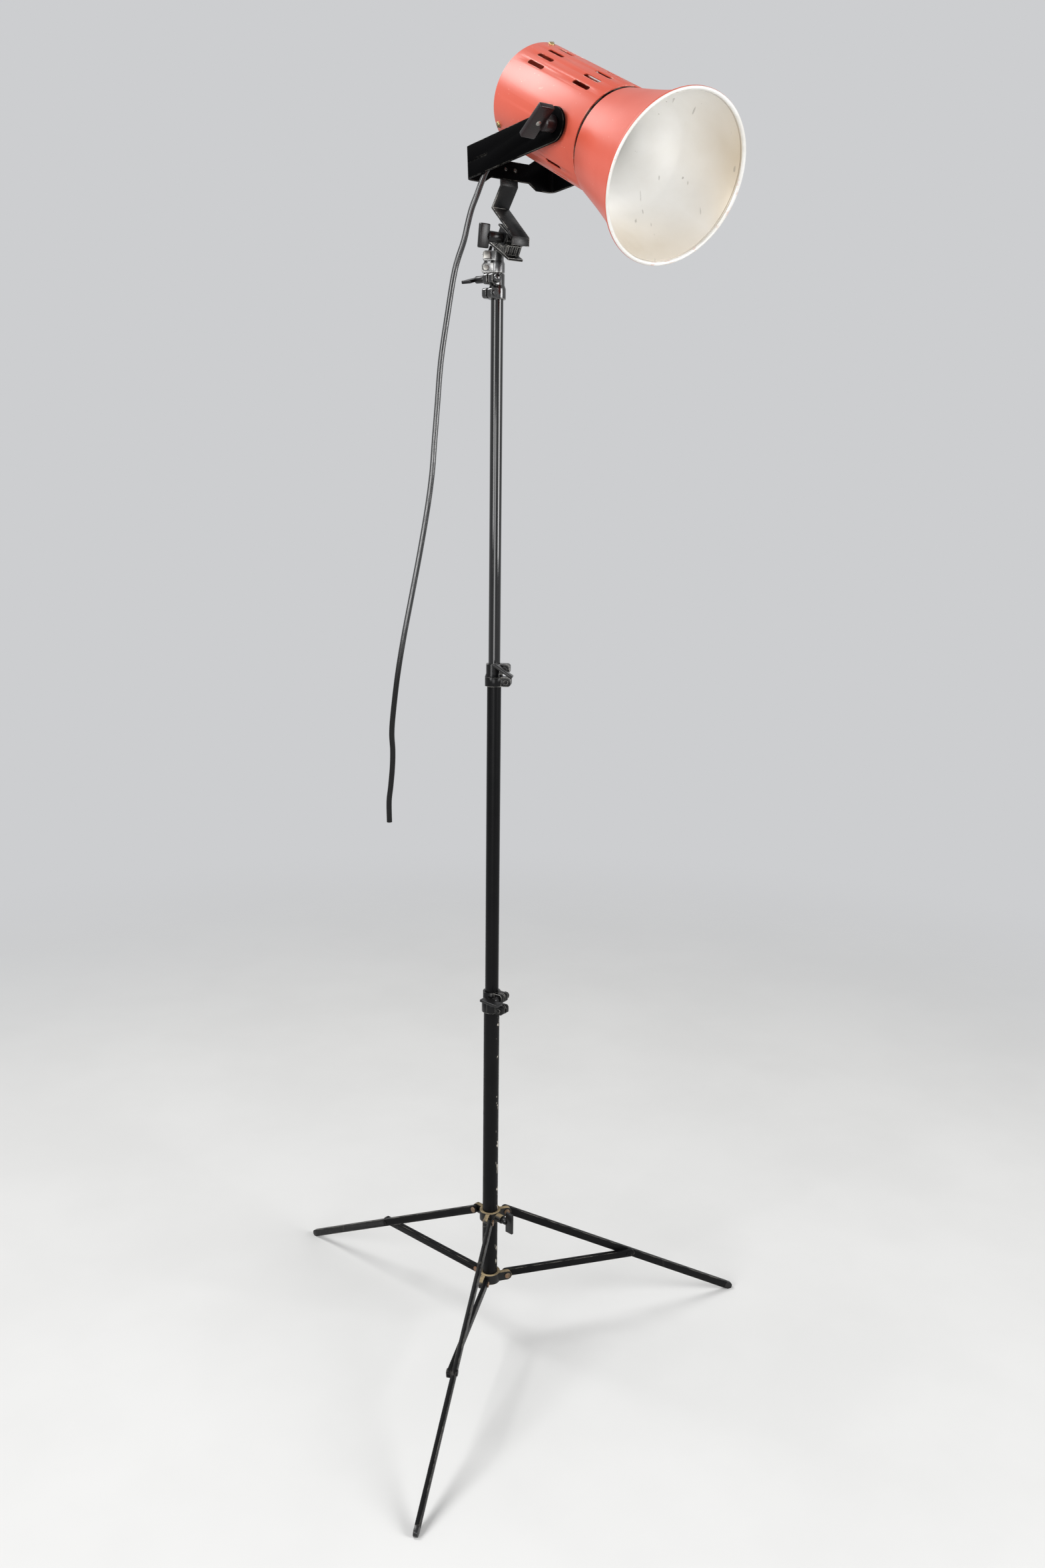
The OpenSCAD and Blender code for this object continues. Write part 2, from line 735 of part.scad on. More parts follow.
// A plate over the drum, with an ear down each side of it, fixed to the foot of the arm strip
module tilt_jaw() {
    outer = tilt_ear_y + tilt_ear_t;
    color(black) at_head() difference() {
        translate([tilt_x, 0, tilt_z]) difference() {
            rotate([0, jaw_slope, 0]) {
                translate([-jaw_back, -outer, jaw_top]) cube([jaw_back + jaw_front, 2 * outer, jaw_t]);
                for (y = [-outer, tilt_ear_y]) translate([-ear_half, y, -jaw_low])
                    cube([2 * ear_half, tilt_ear_t, jaw_low + jaw_top + jaw_t / 2]);
            }
            cross_bar(tilt_hole_r, -2 * outer, 2 * outer);
        }
        bent_strip(strip_points(), strip_w + 2 * outer, strip_t + 2 * seat_fit);
        translate([knuckle_x, -strip_w, tilt_z - 2 * strip_w]) cube([2 * strip_w, 2 * strip_w, 4 * strip_w]);
    }
}

// Yoke

module yoke_bend(far) {
    mirror([0, far ? 1 : 0, 0])
        translate([cross_x + yoke_t / 2 + bend_r, -yoke_in + bend_r, -yoke_w / 2])
            rotate([0, 0, 180]) rotate_extrude(angle = 90)
                translate([bend_r, 0]) square([yoke_t, yoke_w]);
}

module yoke_arm(far) {
    y0 = far ? yoke_in : -yoke_in - yoke_t;
    arm_x = cross_x + yoke_t / 2 + bend_r;
    difference() {
        union() {
            translate([arm_x, y0, -yoke_w / 2]) cube([-arm_x, yoke_t, yoke_w]);
            cross_bar(yoke_w / 2, y0, y0 + yoke_t);
        }
        cross_bar(bolt_hole_r, y0 - cut, y0 + yoke_t + cut);
    }
}

// The crosspiece is drawn in at its top and bottom edges between the bends
module yoke_cross() {
    half = yoke_in - bend_r;
    waist = yoke_w * 0.2;
    h = yoke_w / 2;
    translate([cross_x - yoke_t / 2, 0, 0]) rotate([90, 0, 90]) linear_extrude(yoke_t)
        polygon([[-half, -h], [-half * 0.7, -h], [-half * 0.5, -h + waist], [half * 0.5, -h + waist],
            [half * 0.7, -h], [half, -h], [half, h], [half * 0.7, h], [half * 0.5, h - waist],
            [-half * 0.5, h - waist], [-half * 0.7, h], [-half, h]]);
}

module yoke_rivet_bars(r, spare) {
    for (y = [-7, 7]) translate([0, y, 1])
        cylinder_x(r, -flange_back - strip_t / 2 - spare, -yoke_len + yoke_t / 2 + spare);
}

// A shallow V pressed along the middle of each bend
module yoke_dart(far) {
    dart_len = 48;
    mirror([0, far ? 1 : 0, 0]) translate([cross_x - yoke_t, -yoke_in - yoke_t, 0])
        rotate([45, 0, 0]) translate([0, -0.9, -0.9]) cube([dart_len, 1.8, 1.8]);
}

module yoke() {
    color(black) at_yoke() difference() {
        union() {
            yoke_cross();
            for (far = [false, true]) {
                yoke_bend(far);
                yoke_arm(far);
            }
        }
        for (far = [false, true]) yoke_dart(far);
        yoke_rivet_bars(rivet_r + seat_fit, cut);
    }
}

// Rivets that hold the yoke's crosspiece to the top of the arm strip
module yoke_rivets() {
    back = -flange_back - strip_t / 2;
    color(steel) at_yoke() {
        yoke_rivet_bars(rivet_r, 0);
        for (y = [-7, 7]) translate([0, y, 1]) cylinder_x(rivet_r + 1.4, back - head_h, back);
    }
}

// Bolts from inside the housing out through the yoke arms
module pivot_bolts() {
    inside = house_r - sheet_t - 1.2;
    near_end = yoke_in + yoke_t + knob_boss_len - 4;
    far_end = yoke_in + yoke_t + 7;
    color(steel) at_lamp() {
        cross_bar(stud_d / 2, -near_end, -inside + 1);
        cross_bar(stud_d / 2 + 3, -inside, -inside + 2.5);
        cross_bar(stud_d / 2, inside - 1, far_end);
        cross_bar(stud_d / 2 + 3, inside - 2.5, inside);
    }
}

module pivot_spacers() {
    color(steel) at_lamp() for (far = [0, 1]) mirror([0, far, 0]) difference() {
        cross_bar(stud_d / 2 + 4, -yoke_in + part_gap, -house_r - seat_fit);
        cross_bar(stud_d / 2 + seat_fit, -yoke_in - cut, -house_r + cut);
    }
}

module pivot_nut() {
    face = yoke_in + yoke_t + part_gap;
    color(steel) at_lamp() difference() {
        translate([0, face + 5, 0]) rotate([90, 0, 0]) cylinder(r = stud_d * 0.95, h = 5, $fn = 6);
        cross_bar(stud_d / 2 + seat_fit, face - cut, face + 5 + cut);
    }
}

module yoke_wing() {
    color([0.16, 0.05, 0.06]) at_head() translate([yoke_x, -yoke_in - yoke_t - part_gap, yoke_z])
        rotate([0, 0, -90]) rotate([knob_turn - 90, 0, 0]) difference() {
            wing(knob_boss_r, knob_boss_len, knob_len, knob_depth, knob_t);
            cylinder_x(stud_d / 2 + slide_fit, -cut, knob_boss_len - 3);
        }
}

// Lamp

module vent_slots(t, turns) {
    for (turn = turns) on_housing(t, turn) {
        translate([-slot_len / 2 + slot_w / 2, -slot_w / 2, house_r - 4])
            cube([slot_len - slot_w, slot_w, 8]);
        for (x = [-1, 1]) translate([x * (slot_len - slot_w) / 2, 0, house_r - 4])
            cylinder(d = slot_w, h = 8, $fn = 24);
    }
}

module housing() {
    inner = house_r - sheet_t;
    color(coral) difference() {
        lamp_turned([[inner, -house_back], [house_r - 0.6, -house_back], [house_r, -house_back + 0.8],
            [house_r, house_front], [inner, house_front]]);
        at_lamp() {
            vent_slots(-90, [for (i = [-3.5 : 1 : 3.5]) i * 13.5]);
            vent_slots(-3, [for (i = [-3 : 3]) i * 14.5]);
            vent_slots(-12, [for (i = [-2.5 : 1 : 2.5]) 180 + i * 18]);
            cross_bar(stud_d / 2 + seat_fit, -house_r - cut, house_r + cut);
            for (turn = cap_screw_turns) on_housing(cap_screw_t, turn)
                translate([0, 0, inner - cut]) cylinder(r = rivet_r + seat_fit, h = sheet_t + 2 * cut);
            on_housing(gland_t, gland_turn) translate([0, 0, inner - cut])
                cylinder(r = cord_d / 2 + 2 + seat_fit, h = sheet_t + 2 * cut);
        }
    }
}

module rear_cap() {
    color(coral) difference() {
        lamp_turned([[0, -house_back - 1], [house_r - 3, -house_back - 1], [ring_r, -house_back + 1],
            [ring_r, -house_back + cap_len], [ring_r - sheet_t, -house_back + cap_len],
            [ring_r - sheet_t, -house_back + sheet_t], [0, -house_back + sheet_t]]);
        at_lamp() for (turn = cap_screw_turns) on_housing(cap_screw_t, turn)
            translate([0, 0, ring_r - sheet_t - cut]) cylinder(r = rivet_r + seat_fit, h = sheet_t + 2 * cut);
        at_lamp() on_housing(gland_t, gland_turn) translate([0, 0, ring_r - sheet_t - 2 * cut])
            cylinder(r = cord_d / 2 + 2 + seat_fit, h = sheet_t + 4 * cut);
    }
}

module cap_screws() {
    color([0.75, 0.68, 0.5]) at_lamp() for (turn = cap_screw_turns) on_housing(cap_screw_t, turn) {
        translate([0, 0, ring_r - sheet_t - 4])
            cylinder(r = rivet_r, h = house_r + 0.4 - ring_r + sheet_t + 4);
        translate([0, 0, house_r + seat_fit]) cylinder(r1 = rivet_r + 1.8, r2 = rivet_r + 0.8, h = 1.8);
    }
}

// A dark sleeve in the housing's mouth that steps down to carry the reflector
module neck_ring() {
    color(black) lamp_turned([[ring_r - sheet_t, house_front - 14], [ring_r, house_front - 14],
        [ring_r, house_front], [neck_r, house_front], [neck_r, bell_start + 1.2],
        [neck_r - sheet_t, bell_start + 1.2], [neck_r - sheet_t, house_front - sheet_t],
        [ring_r - sheet_t, house_front - sheet_t]]);
}

function bell_r(s) = bell_neck_r + (bell_rim_r - bell_neck_r) * (0.78 * s + 0.22 * s * s * s);

module reflector() {
    steps = [for (i = [0 : bell_steps]) i / bell_steps];
    color(coral) union() {
        hung_turned(concat([for (s = steps) [bell_r(s), bell_start + s * bell_len]],
            [for (i = [bell_steps : -1 : 0])
                [bell_r(steps[i]) - sheet_t, bell_start + steps[i] * bell_len]]));
        at_lamp() translate([bell_end, 0, -bell_sag]) rotate([0, 90, 0])
            rotate_extrude($fn = 96) translate([bell_rim_r, 0]) circle(r = bead_r, $fn = 24);
    }
}

// The silver bowl inside the bell: past its throat it follows the bell's wall to the rim
function liner_limit(t) = bell_r((t - bell_start) / bell_len) - sheet_t - liner_t - liner_fit;

function liner_line() = concat([[liner_hole_r, liner_start], [liner_hole_r + 10.2, liner_start + 22],
    [neck_r - sheet_t - bell_sag - liner_t - part_gap, bell_start + 1.2],
    [liner_limit(bell_start + 14) - 2, bell_start + 14]],
    [for (i = [0 : bell_steps]) let (t = bell_start + 25 + i / bell_steps * (liner_end - bell_start - 25))
        [liner_limit(t), t]]);

module liner() {
    line = liner_line();
    color([0.8, 0.8, 0.78]) hung_turned(concat([for (q = line) [q[0] + liner_t, q[1]]],
        [for (i = [len(line) - 1 : -1 : 0]) line[i]]));
}

module lamp_holder() {
    color([0.93, 0.92, 0.88]) lamp_turned([[0, holder_back], [holder_r, holder_back],
        [holder_r, holder_front - 8], [shell_r + 3, holder_front], [shell_r + seat_fit, holder_front],
        [shell_r + seat_fit, holder_back + 8], [0, holder_back + 8]]);
}

module holder_posts() {
    color(steel) at_lamp() for (y = [-11, 11]) translate([0, y, 0])
        cylinder_x(rivet_r + 1, -house_back + sheet_t, holder_back);
}

module screw_shell() {
    color([0.75, 0.6, 0.3]) lamp_turned([[0, holder_back + 8], [shell_r, holder_back + 8],
        [shell_r, holder_front - 2], [cap_r + slide_fit, holder_front - 2],
        [cap_r + slide_fit, holder_back + 9], [0, holder_back + 9]]);
}

module bulb_cap() {
    color([0.75, 0.6, 0.3]) lamp_turned([[0, holder_back + 9.5], [cap_r - 5, holder_back + 9.5],
        [cap_r, holder_back + 14], [cap_r, holder_front + 4], [cap_r - glass_t, holder_front + 4],
        [cap_r - glass_t, holder_back + 15], [0, holder_back + 11]]);
}

function globe_points(r, turns) = [for (a = turns) [r * sin(a), globe_t + r * cos(a)]];

module bulb_glass() {
    neck = holder_front + 4 + seat_fit;
    color([0.95, 0.95, 0.93]) lamp_turned(concat([[cap_r - glass_t, neck], [cap_r, neck]],
        globe_points(globe_r, [150 : -10 : 0]), globe_points(globe_r - glass_t, [0 : 10 : 150])));
}

// Cord and its strain relief

module cord_gland() {
    flange_r = cord_d / 2 + 5;
    color(black) at_lamp() on_housing(gland_t, gland_turn) {
        translate([0, 0, house_r - sheet_t - 3]) cylinder(r = cord_d / 2 + 2, h = sheet_t + 5);
        translate([0, 0, house_r + 0.6]) cylinder(r = flange_r - 1, h = 2);
        translate([0, 0, house_r + 1]) cylinder(r1 = cord_d / 2 + 3, r2 = cord_d / 2 + 1, h = gland_len);
    }
}

function cord_point(i, u) = let (n = len(cord_route), a = cord_route[max(i - 1, 0)], b = cord_route[i],
    c = cord_route[min(i + 1, n - 1)], d = cord_route[min(i + 2, n - 1)])
    0.5 * (2 * b + (c - a) * u + (2 * a - 5 * b + 4 * c - d) * u * u + (3 * b - a - 3 * c + d) * u * u * u);

function cord_line() = concat([for (i = [0 : len(cord_route) - 2]) for (k = [0 : cord_parts - 1])
    cord_point(i, k / cord_parts)], [cord_route[len(cord_route) - 1]]);

function unit(v) = v / norm(v);

function cord_ring(line, i) = let (n = len(line), along = unit(line[min(i + 1, n - 1)] - line[max(i - 1, 0)]),
    side = unit(cross(along, [0, 1, 0])), up = cross(side, along))
    [for (k = [0 : cord_sides - 1]) let (a = k * 360 / cord_sides)
        line[i] + cord_d / 2 * (cos(a) * side + sin(a) * up)];

module cord() {
    line = cord_line();
    n = len(line);
    m = cord_sides;
    walls = [for (i = [0 : n - 2]) for (k = [0 : m - 1]) let (k2 = (k + 1) % m)
        each [[i * m + k, (i + 1) * m + k, (i + 1) * m + k2], [i * m + k, (i + 1) * m + k2, i * m + k2]]];
    ends = [for (k = [1 : m - 2]) each [[0, k, k + 1], [(n - 1) * m, (n - 1) * m + k + 1, (n - 1) * m + k]]];
    color(black) polyhedron([for (i = [0 : n - 1]) each cord_ring(line, i)], concat(walls, ends));
}

base_tube();
brace_hub();
brace_pins();
leg_hub();
leg_pins();
hub_wing();
leg(1);  // leg_1
leg(2);  // leg_2
leg(3);  // leg_3
leg_tip(1);  // leg_tip_1
leg_tip(2);  // leg_tip_2
leg_tip(3);  // leg_tip_3
brace(1);  // brace_1
brace(2);  // brace_2
brace(3);  // brace_3
base_clamp();
base_clamp_bolts();
base_clamp_wing();
second_tube();
second_clamp();
second_clamp_bolts();
second_clamp_wing();
third_tube();
third_clamp();
third_clamp_bolts();
third_clamp_wing();
fourth_tube();
top_clamp();
top_clamp_bolts();
top_clamp_wing();
spigot();
tilt_drum();
tilt_bolt();
tilt_nut();
tilt_wing();
arm_strip();
tilt_jaw();
yoke();
yoke_rivets();
pivot_bolts();
pivot_spacers();
pivot_nut();
yoke_wing();
housing();
rear_cap();
cap_screws();
neck_ring();
reflector();
liner();
lamp_holder();
holder_posts();
screw_shell();
bulb_cap();
bulb_glass();
cord_gland();
cord();
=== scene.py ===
"""Looks of a studio floodlight: a red bell lamp in a black yoke on a folding tripod stand."""
import json
import math

import bmesh
import bpy
from mathutils import Matrix, Vector


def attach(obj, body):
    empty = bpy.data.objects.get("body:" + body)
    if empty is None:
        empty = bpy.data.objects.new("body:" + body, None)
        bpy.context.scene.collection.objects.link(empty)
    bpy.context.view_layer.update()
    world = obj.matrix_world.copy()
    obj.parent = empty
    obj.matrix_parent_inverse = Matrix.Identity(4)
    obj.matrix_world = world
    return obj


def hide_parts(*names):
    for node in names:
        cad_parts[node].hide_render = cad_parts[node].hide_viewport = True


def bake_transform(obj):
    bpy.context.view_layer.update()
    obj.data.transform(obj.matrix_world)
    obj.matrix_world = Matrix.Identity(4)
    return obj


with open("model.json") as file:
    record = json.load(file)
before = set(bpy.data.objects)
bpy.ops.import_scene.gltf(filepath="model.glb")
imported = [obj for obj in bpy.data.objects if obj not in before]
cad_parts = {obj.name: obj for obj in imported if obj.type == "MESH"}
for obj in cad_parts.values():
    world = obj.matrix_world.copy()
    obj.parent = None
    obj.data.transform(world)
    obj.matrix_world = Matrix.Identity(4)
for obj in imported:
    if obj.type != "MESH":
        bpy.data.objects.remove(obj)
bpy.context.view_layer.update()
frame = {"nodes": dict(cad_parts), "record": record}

NODES = frame["nodes"]
RECORD = frame["record"]
BODY_OF = {node: body for body, nodes in RECORD["behaviour"]["bodies"].items() for node in nodes}
scene = bpy.context.scene
scene.view_settings.view_transform = "Standard"

MM = 0.001


def turned(degrees, axis):
    return Matrix.Rotation(math.radians(degrees), 4, axis)


def moved(x, y, z):
    return Matrix.Translation((x, y, z))


# Places in metres and degrees, the same as in the part's source
HEAD_HEADING = -55
TILT_REACH, TILT_Z = 0.028, 1.546354
LAMP_REACH, YOKE_Z = 0.197, 1.636354
LAMP_DIP = 26.5
HOUSING_R = 0.0595
LEG_PIVOT_Z = 0.203604
# The bell hangs a little low on the neck ring
BELL_DROP = 0.00198
HEAD = turned(HEAD_HEADING, "Z")
LAMP = HEAD @ moved(LAMP_REACH, 0, YOKE_Z) @ turned(LAMP_DIP, "Y")
BELL = LAMP @ moved(0, 0, -BELL_DROP)
TILT = HEAD @ moved(TILT_REACH, 0, TILT_Z)


def on_housing(along, turn):
    """A place on the outside of the housing, with +X pointing away from it."""
    return LAMP @ moved(along, 0, 0) @ turned(turn, "X") @ moved(0, 0, HOUSING_R) @ turned(-90, "Y")


# Camera, in degrees, metres and millimetres of lens

CAMERA_YAW, CAMERA_PITCH, CAMERA_ROLL = 1.28, 13.12, 0.73
CAMERA_PLACE = (0, -1.7768, 1.2677)
CAMERA_LENS, CAMERA_SENSOR = 30.72, 36


def photo_camera():
    """The camera that shows the object as the photograph does."""
    yaw, pitch, roll = (math.radians(angle) for angle in (CAMERA_YAW, CAMERA_PITCH, CAMERA_ROLL))
    ahead = Vector((math.sin(yaw) * math.cos(pitch), math.cos(yaw) * math.cos(pitch), -math.sin(pitch)))
    level = Vector((math.cos(yaw), -math.sin(yaw), 0))
    above = level.cross(ahead)
    right = level * math.cos(roll) + above * math.sin(roll)
    up = above * math.cos(roll) - level * math.sin(roll)
    data = bpy.data.cameras.new("photo_camera")
    data.sensor_fit = "VERTICAL"
    data.sensor_height = CAMERA_SENSOR
    data.lens = CAMERA_LENS
    camera = bpy.data.objects.new("photo_camera", data)
    scene.collection.objects.link(camera)
    turn = Matrix((right, up, -ahead)).transposed().to_4x4()
    camera.matrix_world = Matrix.Translation(CAMERA_PLACE) @ turn
    scene.camera = camera


photo_camera()


# Making pieces

def shade_smooth(mesh, angle):
    """Smooth shading, with edges sharper than the angle left hard."""
    mesh.polygons.foreach_set("use_smooth", [True] * len(mesh.polygons))
    mesh.set_sharp_from_angle(angle=math.radians(angle))


def make_piece(name, shape, body, materials, replaces=(), smooth_angle=40):
    """Turns a bmesh into a piece that rides on a body."""
    mesh = bpy.data.meshes.new(name)
    shape.normal_update()
    shape.to_mesh(mesh)
    shape.free()
    for material in materials:
        mesh.materials.append(material)
    piece = bpy.data.objects.new(name, mesh)
    scene.collection.objects.link(piece)
    if smooth_angle:
        shade_smooth(mesh, smooth_angle)
    if body:
        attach(piece, body)
    if replaces:
        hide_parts(*replaces)
    return piece


def add_shape(target, part, place, material=0):
    """Copies a small bmesh into a larger one at its place."""
    mesh = bpy.data.meshes.new("part")
    part.transform(place)
    for face in part.faces:
        face.material_index = material
    part.to_mesh(mesh)
    part.free()
    target.from_mesh(mesh)
    bpy.data.meshes.remove(mesh)


def in_metres(profile):
    """A profile of (along, radius) points from millimetres to metres."""
    return [(along * MM, max(radius, 0) * MM) for along, radius in profile]


def turned_shape(profile, steps):
    """Spins a closed or axis-to-axis profile of (along, radius) points round +X."""
    shape = bmesh.new()
    points = [shape.verts.new((along, 0, radius)) for along, radius in profile]
    edges = [shape.edges.new(pair) for pair in zip(points, points[1:])]
    bmesh.ops.spin(shape, geom=points + edges, cent=(0, 0, 0), axis=(1, 0, 0),
                   angle=math.tau, steps=steps, use_merge=True)
    bmesh.ops.remove_doubles(shape, verts=shape.verts, dist=1e-6)
    bmesh.ops.recalc_face_normals(shape, faces=shape.faces)
    return shape


def rounded_block(size, radius, segments=3):
    shape = bmesh.new()
    bmesh.ops.create_cube(shape, size=1)
    bmesh.ops.scale(shape, vec=size, verts=shape.verts)
    bmesh.ops.bevel(shape, geom=shape.edges[:], offset=radius, affect="EDGES", segments=segments,
                    profile=0.5, material=-1)
    return shape


# Edges that turn more than this many degrees are rounded; faces that turn less than the other are one face
LEAST_SHARP, FLAT = 35, 0.6


def softened(label, finish, radius):
    """Repeats a CAD node with its sharp edges rounded, as pressed, cast or tumbled parts have them."""
    shape = bmesh.new()
    shape.from_mesh(NODES[label].data)
    bmesh.ops.remove_doubles(shape, verts=shape.verts, dist=1e-6)
    bmesh.ops.dissolve_limit(shape, angle_limit=math.radians(FLAT), verts=shape.verts, edges=shape.edges)
    sharp = [edge for edge in shape.edges
             if len(edge.link_faces) == 2 and edge.calc_face_angle() > math.radians(LEAST_SHARP)]
    bmesh.ops.bevel(shape, geom=sharp, offset=radius * MM, affect="EDGES", segments=2, profile=0.5,
                    material=-1, clamp_overlap=True)
    for face in shape.faces:
        face.material_index = 0
    make_piece(f"{label}_finish", shape, BODY_OF[label], [finish], [label], LEAST_SHARP)


def arc(centre_along, centre_radius, radius, start, end, count):
    """Points of an arc in (along, radius), angles in degrees from +along towards +radius."""
    turns = [math.radians(start + (end - start) * i / (count - 1)) for i in range(count)]
    return [(centre_along + radius * math.cos(a), centre_radius + radius * math.sin(a)) for a in turns]


def smooth_span(a, b, c, d, parts):
    """Points of a smooth line from b up to c, on its way from a to d."""
    shares = [k / parts for k in range(parts)]
    return [0.5 * (2 * b + (c - a) * u + (2 * a - 5 * b + 4 * c - d) * u ** 2
                   + (3 * b - a - 3 * c + d) * u ** 3) for u in shares]


# Finishes

class Finish:
    """A node material with a few short ways to add texture to its shader."""

    def __init__(self, name):
        self.material = bpy.data.materials.new(name)
        self.material.use_nodes = True
        self.tree = self.material.node_tree
        self.shader = self.tree.nodes["Principled BSDF"]
        self.coords = self.tree.nodes.new("ShaderNodeTexCoord").outputs["Object"]

    def node(self, kind, **settings):
        node = self.tree.nodes.new(kind)
        for key, value in settings.items():
            setattr(node, key, value)
        return node

    def link(self, output, socket):
        self.tree.links.new(output, socket)

    def axis(self, name):
        """One of the piece's own coordinates, in metres."""
        split = self.node("ShaderNodeSeparateXYZ")
        self.link(self.coords, split.inputs["Vector"])
        return split.outputs[name]

    def stretched(self, scale, turn=(0, 0, 0), place=(0, 0, 0)):
        """Coordinates for a pattern that is drawn out along the axes with a small scale."""
        mapping = self.node("ShaderNodeMapping")
        mapping.inputs["Scale"].default_value = scale
        mapping.inputs["Rotation"].default_value = turn
        mapping.inputs["Location"].default_value = place
        self.link(self.coords, mapping.inputs["Vector"])
        return mapping.outputs["Vector"]

    def noise(self, scale, detail=4, roughness=0.55, vector=None):
        noise = self.node("ShaderNodeTexNoise")
        noise.inputs["Scale"].default_value = scale
        noise.inputs["Detail"].default_value = detail
        noise.inputs["Roughness"].default_value = roughness
        noise.inputs["Distortion"].default_value = 0
        self.link(vector or self.coords, noise.inputs["Vector"])
        return noise.outputs["Fac"]

    def steps(self, value, low, high, out_low=0, out_high=1):
        """A soft step from out_low to out_high as the value goes from low to high."""
        ramp = self.node("ShaderNodeMapRange", interpolation_type="SMOOTHSTEP")
        for key, number in (("From Min", low), ("From Max", high), ("To Min", out_low), ("To Max", out_high)):
            ramp.inputs[key].default_value = number
        self.link(value, ramp.inputs["Value"])
        return ramp.outputs["Result"]

    def combined(self, operation, first, second):
        math_node = self.node("ShaderNodeMath", operation=operation)
        for socket, value in zip(math_node.inputs, (first, second)):
            if isinstance(value, (int, float)):
                socket.default_value = value
            else:
                self.link(value, socket)
        return math_node.outputs["Value"]

    def mix(self, amount, first, second):
        """Two colours mixed; the node's sockets 0, 6, 7 and 2 are the amount, the colours and the result."""
        mix = self.node("ShaderNodeMix", data_type="RGBA")
        self.link(amount, mix.inputs[0])
        for socket, value in ((mix.inputs[6], first), (mix.inputs[7], second)):
            if isinstance(value, tuple):
                socket.default_value = (*value, 1)
            else:
                self.link(value, socket)
        return mix.outputs[2]

    def clouded(self, clouds, first, second, low=0.3, high=0.7):
        """A colour that drifts between two shades."""
        return self.mix(self.steps(clouds, low, high), first, second)

    def edges(self, radius):
        """Strong at sharp outer edges, nothing on flat faces."""
        bevel = self.node("ShaderNodeBevel", samples=4)
        bevel.inputs["Radius"].default_value = radius
        geometry = self.node("ShaderNodeNewGeometry")
        dot = self.node("ShaderNodeVectorMath", operation="DOT_PRODUCT")
        self.link(bevel.outputs["Normal"], dot.inputs[0])
        self.link(geometry.outputs["True Normal"], dot.inputs[1])
        return self.steps(dot.outputs["Value"], 0.99, 0.80)

    def rubbed(self, radius, patches, low, high, most):
        """Patches of wear along the sharp edges."""
        return self.combined("MULTIPLY", self.edges(radius), self.steps(patches, low, high, 0, most))

    def bump(self, height, strength, distance=0.0002):
        bump = self.node("ShaderNodeBump")
        bump.inputs["Strength"].default_value = strength
        bump.inputs["Distance"].default_value = distance
        self.link(height, bump.inputs["Height"])
        self.link(bump.outputs["Normal"], self.shader.inputs["Normal"])

    def colour(self, value):
        self.link(value, self.shader.inputs["Base Color"])

    def roughness(self, value):
        self.link(value, self.shader.inputs["Roughness"])

    def metallic(self, value):
        self.link(value, self.shader.inputs["Metallic"])

    def specular(self, value):
        self.link(value, self.shader.inputs["Specular IOR Level"])

    def set(self, **values):
        """Constants straight on the shader's sockets."""
        for key, value in values.items():
            self.shader.inputs[key.replace("_", " ").title().replace("Ior", "IOR")].default_value = value


def linear(red, green, blue):
    """An sRGB colour out of 255 as the shader's linear colour."""
    def channel(value):
        value /= 255
        return value / 12.92 if value <= 0.04045 else ((value + 0.055) / 1.055) ** 2.4
    return tuple(channel(value) for value in (red, green, blue))


def worn_paint(name, paint, shade, bare, rough, wear, specular=0.25):
    """Old paint: clouded colour, fine scratches, and bare metal along its edges."""
    finish = Finish(name)
    fine = finish.noise(160, 6, 0.7)
    lines = finish.noise(70, 3, 0.6, finish.stretched((1, 1, 0.06), (0.5, 0.3, 0.2)))
    colour = finish.clouded(finish.noise(9, 5), paint, shade)
    colour = finish.mix(finish.steps(lines, 0.66, 0.72, 0, 0.1), colour, bare)
    rubbed = finish.rubbed(0.0012, finish.noise(45, 5, 0.7), 0.42, 0.62, wear)
    finish.colour(finish.mix(rubbed, colour, bare))
    finish.roughness(finish.steps(fine, 0.2, 0.8, rough - 0.07, rough + 0.10))
    finish.bump(fine, 0.12)
    finish.set(specular_ior_level=specular)
    return finish.material


def chipped_tube():
    """The lowest tube: dull black with chips down to bare metal along one side."""
    finish = Finish("chipped_tube")
    side = finish.steps(finish.axis("X"), 0.0070, 0.0090)
    flakes = finish.noise(150, 4, 0.6, finish.stretched((1, 1, 0.5)))
    chip = finish.combined("MULTIPLY", finish.steps(flakes, 0.60, 0.65), side)
    specks = finish.steps(finish.noise(190, 3, 0.5), 0.74, 0.77, 0, 0.3)
    colour = finish.clouded(finish.noise(14, 5), linear(14, 14, 15), linear(9, 9, 10))
    finish.colour(finish.mix(finish.combined("MAXIMUM", chip, specks), colour, linear(186, 180, 168)))
    finish.roughness(finish.steps(finish.noise(120, 5), 0.25, 0.75, 0.30, 0.46))
    finish.bump(chip, 0.25, 0.0003)
    finish.set(specular_ior_level=0.1)
    return finish.material


def lacquered_tube(name, rough, specular, rub):
    """Smooth black lacquer with faint lengthwise rubbing."""
    finish = Finish(name)
    lines = finish.noise(240, 3, 0.6, finish.stretched((1, 1, 0.02)))
    colour = finish.clouded(finish.noise(10, 4), linear(11, 11, 12), linear(8, 8, 9))
    finish.colour(finish.mix(finish.steps(lines, 0.62, 0.80, 0, rub), colour, linear(110, 108, 104)))
    finish.roughness(finish.steps(finish.noise(60, 4), 0.25, 0.75, rough, rough + 0.06))
    finish.set(specular_ior_level=specular)
    return finish.material


